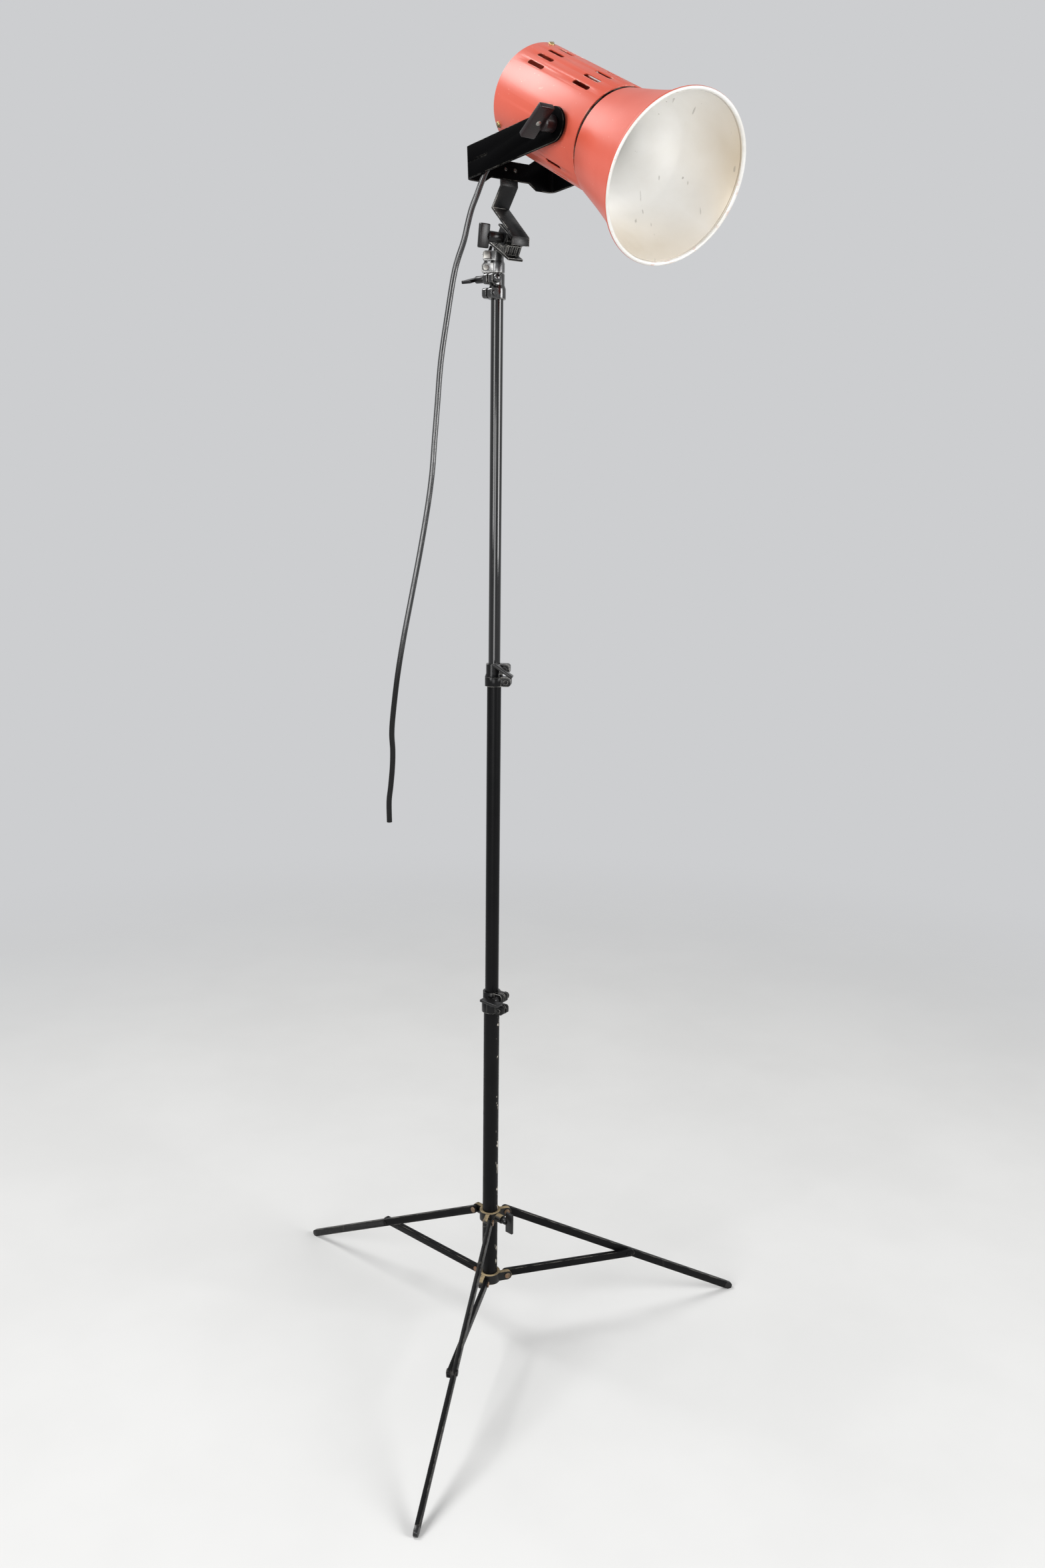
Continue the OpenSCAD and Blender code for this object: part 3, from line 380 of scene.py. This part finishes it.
def dusty_hub():
    """Black casting with beige dust on the faces that look up, rubbed at its edges."""
    finish = Finish("dusty_hub")
    normals = finish.node("ShaderNodeSeparateXYZ")
    finish.link(finish.node("ShaderNodeTexCoord").outputs["Normal"], normals.inputs["Vector"])
    up = finish.steps(normals.outputs["Z"], 0.55, 0.9)
    dust = finish.combined("MULTIPLY", up, finish.steps(finish.noise(60, 5, 0.7), 0.30, 0.62, 0.25, 0.95))
    colour = finish.clouded(finish.noise(25, 5), linear(24, 23, 22), linear(16, 16, 16))
    colour = finish.mix(dust, colour, linear(158, 140, 108))
    rubbed = finish.rubbed(0.0010, finish.noise(70, 5, 0.7), 0.45, 0.6, 0.8)
    finish.colour(finish.mix(rubbed, colour, linear(170, 152, 120)))
    finish.roughness(finish.steps(dust, 0, 1, 0.38, 0.8))
    finish.bump(finish.noise(200, 5), 0.15, 0.0003)
    finish.set(specular_ior_level=0.25)
    return finish.material


def red_paint():
    """The lamp's red: slightly clouded and grimy, with nicks, scratches and rubbed edges."""
    finish = Finish("red_paint")
    clouds = finish.noise(7, 5)
    colour = finish.clouded(clouds, linear(204, 90, 70), linear(195, 82, 62), 0.32, 0.68)
    grime = finish.steps(finish.noise(26, 6, 0.7), 0.60, 0.76, 0, 0.16)
    colour = finish.mix(grime, colour, linear(150, 70, 56))
    nicks = finish.steps(finish.noise(330, 2, 0.5), 0.735, 0.76, 0, 0.45)
    colour = finish.mix(nicks, colour, linear(236, 190, 175))
    lines = finish.noise(60, 3, 0.6, finish.stretched((1, 0.05, 1), (0.4, 0.2, 0.9)))
    colour = finish.mix(finish.steps(lines, 0.69, 0.73, 0, 0.3), colour, linear(232, 150, 130))
    rubbed = finish.rubbed(0.0011, finish.noise(60, 5, 0.7), 0.5, 0.6, 0.8)
    finish.colour(finish.mix(rubbed, colour, linear(228, 214, 200)))
    finish.roughness(finish.steps(clouds, 0.25, 0.75, 0.30, 0.38))
    finish.bump(finish.noise(220, 5, 0.65), 0.10)
    finish.set(specular_ior_level=0.4)
    return finish.material


def silver_lining():
    """The bell's silvered inside: satin white, painted shade and yellowing low down and on the right, thin dark
    scuffs.
    """
    finish = Finish("silver_lining")
    clouds = finish.noise(11, 5, 0.6)
    colour = finish.clouded(clouds, linear(248, 248, 247), linear(242, 241, 238))
    # Painted shade, with some yellowing: the colour turns beige towards the bottom and towards the right of the
    # bowl.
    low = finish.steps(finish.axis("Z"), 1.575, 1.50, 0, 0.85)
    right = finish.steps(finish.axis("X"), 0.185, 0.26, 0, 0.8)
    drift = finish.noise(7, 4, 0.5, finish.stretched((1, 1, 1), place=(0.3, 0.1, 0.6)))
    shade_and_yellowing = finish.combined("MULTIPLY", finish.combined("MAXIMUM", low, right),
                            finish.steps(drift, 0.35, 0.65, 0.65, 1))
    colour = finish.mix(shade_and_yellowing, colour, linear(190, 172, 142))
    lines = finish.noise(190, 2, 0.5, finish.stretched((1, 0.10, 0.22), (0.7, 0.5, 0.4)))
    scuff = finish.steps(lines, 0.70, 0.74, 0, 0.4)
    speck = finish.steps(finish.noise(110, 2, 0.5), 0.75, 0.78, 0, 0.5)
    finish.colour(finish.mix(finish.combined("MAXIMUM", scuff, speck), colour, linear(110, 102, 94)))
    finish.roughness(finish.steps(clouds, 0.2, 0.8, 0.34, 0.46))
    finish.set(metallic=0.25)
    finish.bump(finish.noise(240, 4, 0.6), 0.05)
    return finish.material


def rim_metal():
    """The rolled rim: bright and worn, with traces of the red paint."""
    finish = Finish("rim_metal")
    clouds = finish.noise(30, 5, 0.6)
    chips = finish.steps(finish.noise(55, 5, 0.7), 0.56, 0.62, 0, 0.5)
    colour = finish.clouded(clouds, linear(240, 239, 236), linear(222, 219, 212))
    finish.colour(finish.mix(chips, colour, linear(214, 176, 160)))
    finish.roughness(finish.steps(clouds, 0.2, 0.8, 0.25, 0.42))
    finish.set(metallic=0.3)
    finish.bump(finish.noise(180, 4), 0.08)
    return finish.material


def plain_steel(name, light, dark, rust, rough, rust_low, rust_high, edge=None):
    """Bare metal, tarnished, with rust where rust_low to rust_high allows and maybe bright edges."""
    finish = Finish(name)
    clouds = finish.noise(60, 6, 0.65)
    rusty = finish.steps(finish.noise(110, 6, 0.7), rust_low, rust_high, 0, 0.9)
    colour = finish.mix(rusty, finish.clouded(clouds, light, dark), rust)
    if edge:
        colour = finish.mix(finish.edges(0.0012), colour, edge)
    finish.colour(colour)
    finish.metallic(finish.steps(rusty, 0.1, 0.8, 0.95, 0.1))
    finish.roughness(finish.steps(clouds, 0.2, 0.8, rough, rough + 0.2))
    finish.bump(finish.noise(300, 4), 0.1)
    return finish.material


def moulded(name, base, mottle, rough):
    """A hard moulded grip: glossy, with a faint mottle and rubbed corners."""
    finish = Finish(name)
    colour = finish.clouded(finish.noise(70, 4, 0.6), base, mottle, 0.35, 0.7)
    rubbed = finish.rubbed(0.0008, finish.noise(90, 4), 0.45, 0.65, 0.35)
    finish.colour(finish.mix(rubbed, colour, linear(104, 94, 88)))
    finish.roughness(finish.steps(finish.noise(40, 5), 0.25, 0.75, rough, rough + 0.16))
    finish.bump(finish.noise(400, 3), 0.05)
    finish.set(specular_ior_level=0.35)
    return finish.material


def rubber_cord():
    """Black cord: shiny near the lamp, dull and dusty towards the cut end."""
    finish = Finish("rubber_cord")
    low = finish.steps(finish.axis("Z"), 1.12, 0.98)
    dust = finish.steps(finish.noise(90, 5, 0.7), 0.35, 0.75)
    colour = finish.mix(dust, linear(14, 14, 15), linear(22, 22, 22))
    finish.colour(finish.mix(finish.combined("MULTIPLY", low, 0.6), colour, linear(20, 20, 20)))
    finish.roughness(finish.steps(finish.combined("ADD", low, dust), 0, 2, 0.12, 0.66))
    finish.bump(finish.noise(260, 4), 0.04, 0.0003)
    finish.specular(finish.steps(low, 0, 1, 1.0, 0.15))
    return finish.material


def porcelain():
    finish = Finish("porcelain")
    clouds = finish.noise(40, 4)
    finish.colour(finish.clouded(clouds, linear(236, 232, 222), linear(222, 214, 198), 0.35, 0.7))
    finish.roughness(finish.steps(clouds, 0.2, 0.8, 0.15, 0.3))
    finish.bump(finish.noise(200, 3), 0.04)
    return finish.material


def frosted_glass():
    finish = Finish("frosted_glass")
    clouds = finish.noise(30, 4)
    finish.colour(finish.clouded(clouds, linear(240, 240, 236), linear(226, 225, 218)))
    finish.roughness(finish.steps(clouds, 0.2, 0.8, 0.28, 0.4))
    finish.set(transmission_weight=0.25)
    finish.bump(finish.noise(500, 3), 0.05, 0.0001)
    return finish.material


BARE = linear(150, 146, 138)
WORN = linear(196, 194, 188)
RED = red_paint()
LINING = silver_lining()
RIM = rim_metal()
BLACK = worn_paint("black_paint", linear(13, 13, 14), linear(9, 9, 10), BARE, 0.36, 0.75, 0.10)
# The yoke's black is a darker copy of the black paint above: painted shade.
SHADED_YOKE_BLACK = worn_paint("yoke_black_painted_shade", linear(5, 5, 6), linear(4, 4, 4), BARE, 0.36, 0.6, 0.01)
JAW_BLACK = worn_paint("jaw_black", linear(15, 15, 16), linear(11, 11, 12), WORN, 0.3, 1.0)
CHIPPED_TUBE = chipped_tube()
MIDDLE_TUBE = lacquered_tube("middle_tube", 0.26, 0.12, 0.10)
UPPER_TUBE = lacquered_tube("upper_tube", 0.05, 0.6, 0.02)
COLLAR_BLACK = worn_paint("collar_black", linear(14, 14, 15), linear(10, 10, 11), WORN, 0.2, 0.9, 0.2)
BRIGHT_COLLAR = worn_paint("bright_collar", linear(15, 15, 16), linear(10, 10, 11), WORN, 0.13, 1.0, 1.0)
HUB_BLACK = dusty_hub()
STEEL = plain_steel("plain_steel", linear(176, 174, 168), linear(120, 118, 114), linear(96, 66, 44),
                    0.28, 0.62, 0.74)
DARK_STEEL = plain_steel("dark_steel", linear(52, 51, 50), linear(28, 28, 29), linear(80, 58, 42),
                         0.3, 0.66, 0.78, linear(190, 188, 182))
PLATED = plain_steel("plated_steel", linear(128, 128, 127), linear(80, 80, 81), linear(70, 62, 52),
                     0.2, 0.66, 0.78, linear(205, 204, 200))
RUSTY = plain_steel("rusty_steel", linear(150, 138, 120), linear(96, 78, 60), linear(112, 68, 38),
                    0.45, 0.42, 0.6)
BRASS = plain_steel("dull_brass", linear(196, 176, 128), linear(150, 132, 90), linear(92, 78, 50),
                    0.3, 0.6, 0.75)
GRIP = moulded("black_grip", linear(15, 15, 16), linear(20, 19, 19), 0.2)
MAROON_GRIP = moulded("maroon_grip", linear(32, 18, 20), linear(20, 14, 15), 0.2)
RUBBER = rubber_cord()
PORCELAIN = porcelain()
GLASS = frosted_glass()


# Cord: close to the points in the part's source, with the slack bends of its lower end, in millimetres

CORD_ROUTE = [(-0.7, -79.4, 1628.7), (-7.5, -79.7, 1621.3), (-13.8, -79.6, 1612.5), (-19, -79, 1601),
              (-24.5, -78, 1587), (-31, -76, 1571), (-36, -74, 1553), (-40.5, -72, 1535), (-51, -70, 1503),
              (-60, -70, 1451), (-68, -70, 1398), (-72.6, -70, 1344), (-76.3, -70, 1300), (-79, -70, 1266),
              (-84.4, -70, 1226), (-94.2, -70, 1170), (-105.4, -70, 1113), (-115.9, -70, 1060),
              (-124.3, -70, 1010), (-130.4, -70, 960), (-132.2, -70, 935), (-131.2, -70, 914),
              (-131.8, -70, 892), (-134.2, -70, 866), (-136.6, -70, 845), (-136.4, -70, 817)]
CORD_D = 0.007
CORD_PARTS = 6


def cord_line():
    """A smooth line through the route's points."""
    points = [Vector(p) * MM for p in CORD_ROUTE]
    last = len(points) - 1
    line = []
    for i in range(last):
        before, after = points[max(i - 1, 0)], points[min(i + 2, last)]
        line += smooth_span(before, points[i], points[i + 1], after, CORD_PARTS)
    return line + [points[-1]]


def cord_piece():
    """The cord as one round rubber piece that bends between the lamp and the arm."""
    line = cord_line()
    data = bpy.data.curves.new("cord", "CURVE")
    data.dimensions = "3D"
    data.bevel_depth = CORD_D / 2
    data.bevel_resolution = 4
    data.use_fill_caps = True
    spline = data.splines.new("POLY")
    spline.points.add(len(line) - 1)
    for point, place in zip(spline.points, line):
        point.co = (*place, 1)
    holder = bpy.data.objects.new("cord_curve", data)
    scene.collection.objects.link(holder)
    bpy.context.view_layer.update()
    mesh = bpy.data.meshes.new_from_object(holder.evaluated_get(bpy.context.evaluated_depsgraph_get()))
    bpy.data.objects.remove(holder)
    mesh.materials.clear()
    mesh.materials.append(RUBBER)
    shade_smooth(mesh, 50)
    cord = bpy.data.objects.new("cord_rubber", mesh)
    scene.collection.objects.link(cord)
    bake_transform(cord)
    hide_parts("cord")


cord_piece()


def cord_gland():
    """The strain relief: a collar at the housing, then a tapered sleeve with shallow ribs."""
    profile = [(-4, 0), (-4, 5.5), (0.6, 5.5), (0.6, 7.0), (1.2, 7.5), (2.2, 7.5), (2.8, 7.0), (2.8, 6.4)]
    for i in range(6):
        along = 4.2 + i * 2.7
        radius = 6.3 - i * 0.31
        profile += [(along - 0.4, radius), (along, radius - 0.5), (along + 0.7, radius - 0.55),
                    (along + 1.1, radius - 0.1)]
    profile += [(20.2, 4.6), (21, 4.2), (21, 0)]
    shape = turned_shape(in_metres(profile), 40)
    shape.transform(on_housing(-0.115, 145))
    make_piece("cord_sleeve", shape, "lamp", [GRIP], ["cord_gland"], 60)


cord_gland()


# Lamp

BELL_START, BELL_LEN = 0.042, 0.104
BELL_END = BELL_START + BELL_LEN
NECK_R, RIM_R, SHEET, BEAD_R = 0.0606, 0.0885, 0.0012, 0.0022
LAMP_STEPS = 144
# The bell's materials, in the order of its list
PAINT_FACE, LINING_FACE, RIM_FACE = 0, 1, 2


def bell_radius(share):
    """The bell's outside radius at a share of its length from the neck."""
    return NECK_R + (RIM_R - NECK_R) * (0.78 * share + 0.22 * share ** 3)


def bell_face(face):
    """Which material a face of the bell has: red outside, silver inside, bare metal on the rim's front."""
    middle = face.calc_center_median()
    facing = face.normal.dot(Vector((0, middle.y, middle.z)).normalized())
    from_bead = math.hypot(middle.x - BELL_END, math.hypot(middle.y, middle.z) - RIM_R)
    if from_bead < BEAD_R * 1.05 and middle.x > BELL_END - BEAD_R * 0.4:
        return RIM_FACE if facing < 0.86 else PAINT_FACE
    return LINING_FACE if facing < 0 else PAINT_FACE


def bell_reflector():
    """The flared red bell with its rolled rim."""
    shares = [i / 36 for i in range(37)]
    outer = [(BELL_START + s * BELL_LEN, bell_radius(s)) for s in shares]
    inner = [(along, radius - SHEET) for along, radius in reversed(outer)]
    bead = arc(BELL_END, RIM_R, BEAD_R, 150, -150, 21)
    shape = turned_shape(outer[:-1] + bead + inner[1:] + [outer[0]], LAMP_STEPS)
    for face in shape.faces:
        face.material_index = bell_face(face)
    shape.transform(BELL)
    make_piece("bell_reflector", shape, "lamp", [RED, LINING, RIM], ["reflector"], 60)


bell_reflector()

# Gap from the bell's outside to the lining's inside, and the lining's thickness, in millimetres
LINING_GAP, LINING_SHEET = 2.1, 0.8


def lining_radius(along):
    """Inside radius of the lining where it lies on the bell, in millimetres along the lamp."""
    return bell_radius((along * MM - BELL_START) / BELL_LEN) / MM - LINING_GAP


def lining_bowl():
    """The silvered bowl inside the bell, with a round hole for the lamp."""
    touches, front = 67, 143.5
    knots = [Vector(knot) for knot in (
        (-2, 33), (20, 43.2), (43.2, 53.02), (56, lining_radius(56) - 2), (touches, lining_radius(touches)),
        (75, lining_radius(75)))]
    line = []
    for i in range(len(knots) - 2):
        line += smooth_span(knots[max(i - 1, 0)], knots[i], knots[i + 1], knots[i + 2], 8)
    line = [(at.x, at.y) for at in line] + [(at, lining_radius(at)) for at in range(touches, 144, 4)]
    line.append((front, lining_radius(front)))
    back = [(along, radius + LINING_SHEET) for along, radius in reversed(line)]
    shape = turned_shape(in_metres(line + back + line[:1]), LAMP_STEPS)
    shape.transform(BELL)
    make_piece("lining_bowl", shape, "lamp", [LINING], ["liner"], 60)


lining_bowl()


def bulb():
    """The frosted bulb: a narrow neck that opens into a globe."""
    cap_r, globe_r, globe_at, neck_at = 12.8, 30, -9, -68.5
    globe = arc(globe_at, 0, globe_r, 148, 0, 40)
    neck = [(neck_at, 0), (neck_at, cap_r), (neck_at + 10, cap_r + 0.2), (neck_at + 22, cap_r + 1.2)]
    shape = turned_shape(in_metres(neck + globe), 64)
    shape.transform(LAMP)
    make_piece("bulb_globe", shape, "lamp", [GLASS], ["bulb_glass"], 60)


bulb()


def cap_screw_heads():
    """Three pan-head screws round the rear of the housing, each with a dark bar as painted shade for its
    screwdriver groove.
    """
    shape = bmesh.new()
    head = [(-4, 0), (-4, 1.9), (0, 1.9), (0, 3.8), (0.7, 3.7)] + arc(-2.2, 0, 4.7, 52, 0, 8)
    for turn in (5, 125, 245):
        place = on_housing(-0.1245, turn)
        add_shape(shape, turned_shape(in_metres(head), 28), place)
        # A dark bar on the head stands for the screwdriver groove: painted shade, not a cut.
        slot_shade_bar = rounded_block((0.0007, 0.0062, 0.0009), 0.0001, 1)
        add_shape(shape, slot_shade_bar, place @ moved(0.0023, 0, 0), 1)
    make_piece("cap_screw_heads", shape, "lamp", [BRASS, DARK_STEEL], ["cap_screws"], 40)


cap_screw_heads()


# Wing grips, in millimetres

def wing_grip(name, place, body, node, boss_r, boss_len, length, depth, thick, finish, dome=0):
    """A round boss along +X that carries a flat finger blade across Z; a dome may show at its middle."""
    shape = bmesh.new()
    boss = [(0, 0), (0, boss_r * 0.92), (0.6, boss_r), (boss_len - 1.5, boss_r), (boss_len, boss_r * 0.82),
            (boss_len, 0)]
    add_shape(shape, turned_shape(in_metres(boss), 40), Matrix.Identity(4))
    blade = rounded_block((depth + 2, thick, length), thick * 0.24)
    bmesh.ops.scale(blade, vec=(MM, MM, MM), verts=blade.verts)
    add_shape(shape, blade, moved((boss_len + depth / 2 - 1) * MM, 0, 0))
    if dome:
        cap = [(0, dome)] + arc(0, 0, dome, 80, 0, 10)
        flat_cap = [(along * 0.5, radius) for along, radius in in_metres(cap)]
        for side in (1, -1):
            at = moved((boss_len + depth * 0.38) * MM, side * thick * 0.42 * MM, 0)
            add_shape(shape, turned_shape(flat_cap, 28), at @ turned(90 * side, "Z"), 1)
    shape.transform(place)
    make_piece(name, shape, body, [finish, STEEL], [node], 45)


EAR_HALF, GAP = 7.5, 0.4
# label, body, heading of the ears, reach and height of the bolt, seat and turn of the wing
CLAMPS = (("base", "base_knob", -38, 16.5, 0.546854, 15.6, 86),
          ("second", "second_knob", -8, 14.9, 1.011854, 14.0, 55),
          ("third", "third_knob", -128, 13.3, 1.501854, 21.5, 75),
          ("top", "top_knob", 180, 13.0, 1.529854, 13.5, 20))


def clamp_wings():
    """The clamps' wings, each at the end of its bolt, just outside the ears."""
    for label, body, heading, reach, height, seat, turn in CLAMPS:
        place = turned(heading, "Z") @ moved(reach * MM, 0, height) @ turned(-90, "Z") \
            @ moved((EAR_HALF + GAP) * MM, 0, 0) @ turned(turn, "X")
        wing_grip(f"{label}_wing", place, body, f"{label}_clamp_wing", boss_r=4.5,
                  boss_len=seat - EAR_HALF - GAP + 2, length=30, depth=12, thick=4, finish=GRIP)


clamp_wings()
wing_grip("yoke_grip", HEAD @ moved(LAMP_REACH, -0.0659, YOKE_Z) @ turned(-90, "Z") @ turned(-57, "X"),
          "yoke_knob", "yoke_wing", boss_r=9, boss_len=14, length=44, depth=17, thick=7, finish=MAROON_GRIP,
          dome=3.4)
wing_grip("tilt_grip", TILT @ moved(0, -0.015, 0) @ turned(-90, "Z") @ turned(-8, "X"),
          "tilt_knob", "tilt_wing", boss_r=6.5, boss_len=20, length=28, depth=12, thick=6, finish=GRIP)


def hub_grip():
    """The leg ring's wing screw: a steel stem, a boss and a flat blade."""
    shape = bmesh.new()
    stem = [(11.5, 0), (11.5, 2.6), (12, 3), (29, 3), (29, 0)]
    add_shape(shape, turned_shape(in_metres(stem), 24), Matrix.Identity(4), 1)
    boss = [(25.4, 0), (25.4, 4.6), (26, 5), (33, 5), (34.4, 4), (34.4, 0)]
    add_shape(shape, turned_shape(in_metres(boss), 32), Matrix.Identity(4))
    blade = rounded_block((0.013, 0.004, 0.031), 0.001)
    add_shape(shape, blade, moved(0.0389, 0, 0))
    shape.transform(moved(0, 0, LEG_PIVOT_Z) @ turned(-43.5, "Z"))
    make_piece("leg_ring_grip", shape, "leg_knob", [GRIP, STEEL], ["hub_wing"], 45)


hub_grip()


# Finishes of the other CAD nodes

FINISHES = {
    "base_tube": CHIPPED_TUBE, "second_tube": MIDDLE_TUBE, "third_tube": UPPER_TUBE, "fourth_tube": UPPER_TUBE,
    "brace_hub": HUB_BLACK, "leg_hub": HUB_BLACK, "brace_pins": RUSTY, "leg_pins": RUSTY,
    "base_clamp": COLLAR_BLACK, "second_clamp": COLLAR_BLACK, "third_clamp": BRIGHT_COLLAR, "top_clamp": PLATED,
    "base_clamp_bolts": DARK_STEEL, "second_clamp_bolts": DARK_STEEL, "third_clamp_bolts": BRIGHT_COLLAR,
    "top_clamp_bolts": STEEL, "spigot": DARK_STEEL, "tilt_drum": DARK_STEEL, "tilt_bolt": STEEL,
    "tilt_nut": STEEL, "tilt_jaw": JAW_BLACK, "arm_strip": JAW_BLACK, "yoke": SHADED_YOKE_BLACK,
    "yoke_rivets": DARK_STEEL, "pivot_bolts": STEEL, "pivot_spacers": DARK_STEEL, "pivot_nut": STEEL,
    "housing": RED, "rear_cap": RED, "neck_ring": BLACK, "lamp_holder": PORCELAIN, "holder_posts": STEEL,
    "screw_shell": BRASS, "bulb_cap": BRASS}

# Rounding of edges in millimetres; a node that isn't named here keeps its CAD mesh
ROUNDING = {
    "housing": 0.3, "rear_cap": 0.5, "yoke": 0.5, "arm_strip": 0.5, "spigot": 0.6, "tilt_drum": 0.4,
    "tilt_jaw": 0.8, "leg_hub": 0.7, "brace_hub": 0.7, "leg_pins": 0.9, "brace_pins": 0.9,
    "base_clamp": 0.8, "second_clamp": 0.8, "third_clamp": 0.7, "top_clamp": 0.7,
    "base_clamp_bolts": 0.6, "second_clamp_bolts": 0.6, "third_clamp_bolts": 0.6, "top_clamp_bolts": 0.6,
    "tilt_nut": 0.4, "tilt_bolt": 0.5, "pivot_bolts": 0.5, "pivot_nut": 0.4, "pivot_spacers": 0.3,
    "yoke_rivets": 0.5}

for number in (1, 2, 3):
    for label, finish, rounding in (("leg", BLACK, 0.6), ("brace", BLACK, 0.6), ("leg_tip", GRIP, 1.0)):
        FINISHES[f"{label}_{number}"] = finish
        ROUNDING[f"{label}_{number}"] = rounding

for label, finish in FINISHES.items():
    if label in ROUNDING:
        softened(label, finish, ROUNDING[label])
    else:
        NODES[label].data.materials.clear()
        NODES[label].data.materials.append(finish)


# Floor, backdrop and light

FLOOR_HALF = 4
# Distances from the stand where the floor starts to fade out and where it is gone
FADE_START, FADE_END = 1.0, 2.7
BACKDROP = linear(205, 206, 208)
ROOM_LIGHT = 0.30
# name, place, aim, width, height and power
LIGHTS = (("top_light", (-1.7, 0.35, 3.5), (0, -0.1, 1.6), 1.4, 1.4, 66),
          ("left_light", (-2.3, -2.5, 2.0), (0, 0, 1.3), 1.4, 2.0, 64),
          ("right_light", (3.0, -1.7, 1.9), (0, 0, 1.3), 1.7, 2.0, 100),
          ("front_light", (-0.5, -3.4, 0.9), (0, 0, 1.4), 1.6, 1.2, 28))


def pale_floor():
    """A pale floor that fades out into the backdrop's colour away from the stand."""
    finish = Finish("pale_floor")
    finish.colour(finish.clouded(finish.noise(3, 4), linear(224, 224, 223), linear(220, 220, 219)))
    finish.set(roughness=0.9, specular_ior_level=0.1)
    length = finish.node("ShaderNodeVectorMath", operation="LENGTH")
    finish.link(finish.coords, length.inputs[0])
    fade = finish.steps(length.outputs["Value"], FADE_START, FADE_END, 1, 0)
    finish.link(fade, finish.shader.inputs["Alpha"])
    shape = bmesh.new()
    bmesh.ops.create_grid(shape, x_segments=1, y_segments=1, size=FLOOR_HALF)
    make_piece("floor", shape, None, [finish.material], smooth_angle=0)


def backdrop():
    """White light from all round, with a pale grey backdrop wherever the room itself is seen."""
    world = bpy.data.worlds.new("studio")
    scene.world = world
    world.use_nodes = True
    tree = world.node_tree
    light = tree.nodes["Background"]
    light.inputs["Color"].default_value = (1, 1, 1, 1)
    light.inputs["Strength"].default_value = ROOM_LIGHT
    shown = tree.nodes.new("ShaderNodeBackground")
    shown.inputs["Color"].default_value = (*BACKDROP, 1)
    rays = tree.nodes.new("ShaderNodeLightPath")
    seen = rays.outputs["Is Camera Ray"]
    for other in ("Is Glossy Ray", "Is Transmission Ray"):
        either = tree.nodes.new("ShaderNodeMath")
        either.operation = "MAXIMUM"
        tree.links.new(seen, either.inputs[0])
        tree.links.new(rays.outputs[other], either.inputs[1])
        seen = either.outputs["Value"]
    mix = tree.nodes.new("ShaderNodeMixShader")
    tree.links.new(seen, mix.inputs["Fac"])
    tree.links.new(light.outputs["Background"], mix.inputs[1])
    tree.links.new(shown.outputs["Background"], mix.inputs[2])
    tree.links.new(mix.outputs["Shader"], tree.nodes["World Output"].inputs["Surface"])


def soft_lights():
    for name, place, aim, width, height, power in LIGHTS:
        data = bpy.data.lights.new(name, "AREA")
        data.shape = "RECTANGLE"
        data.size = width
        data.size_y = height
        data.energy = power
        lamp = bpy.data.objects.new(name, data)
        scene.collection.objects.link(lamp)
        lamp.location = place
        lamp.rotation_euler = (Vector(aim) - Vector(place)).to_track_quat("-Z", "Y").to_euler()


pale_floor()
backdrop()
soft_lights()
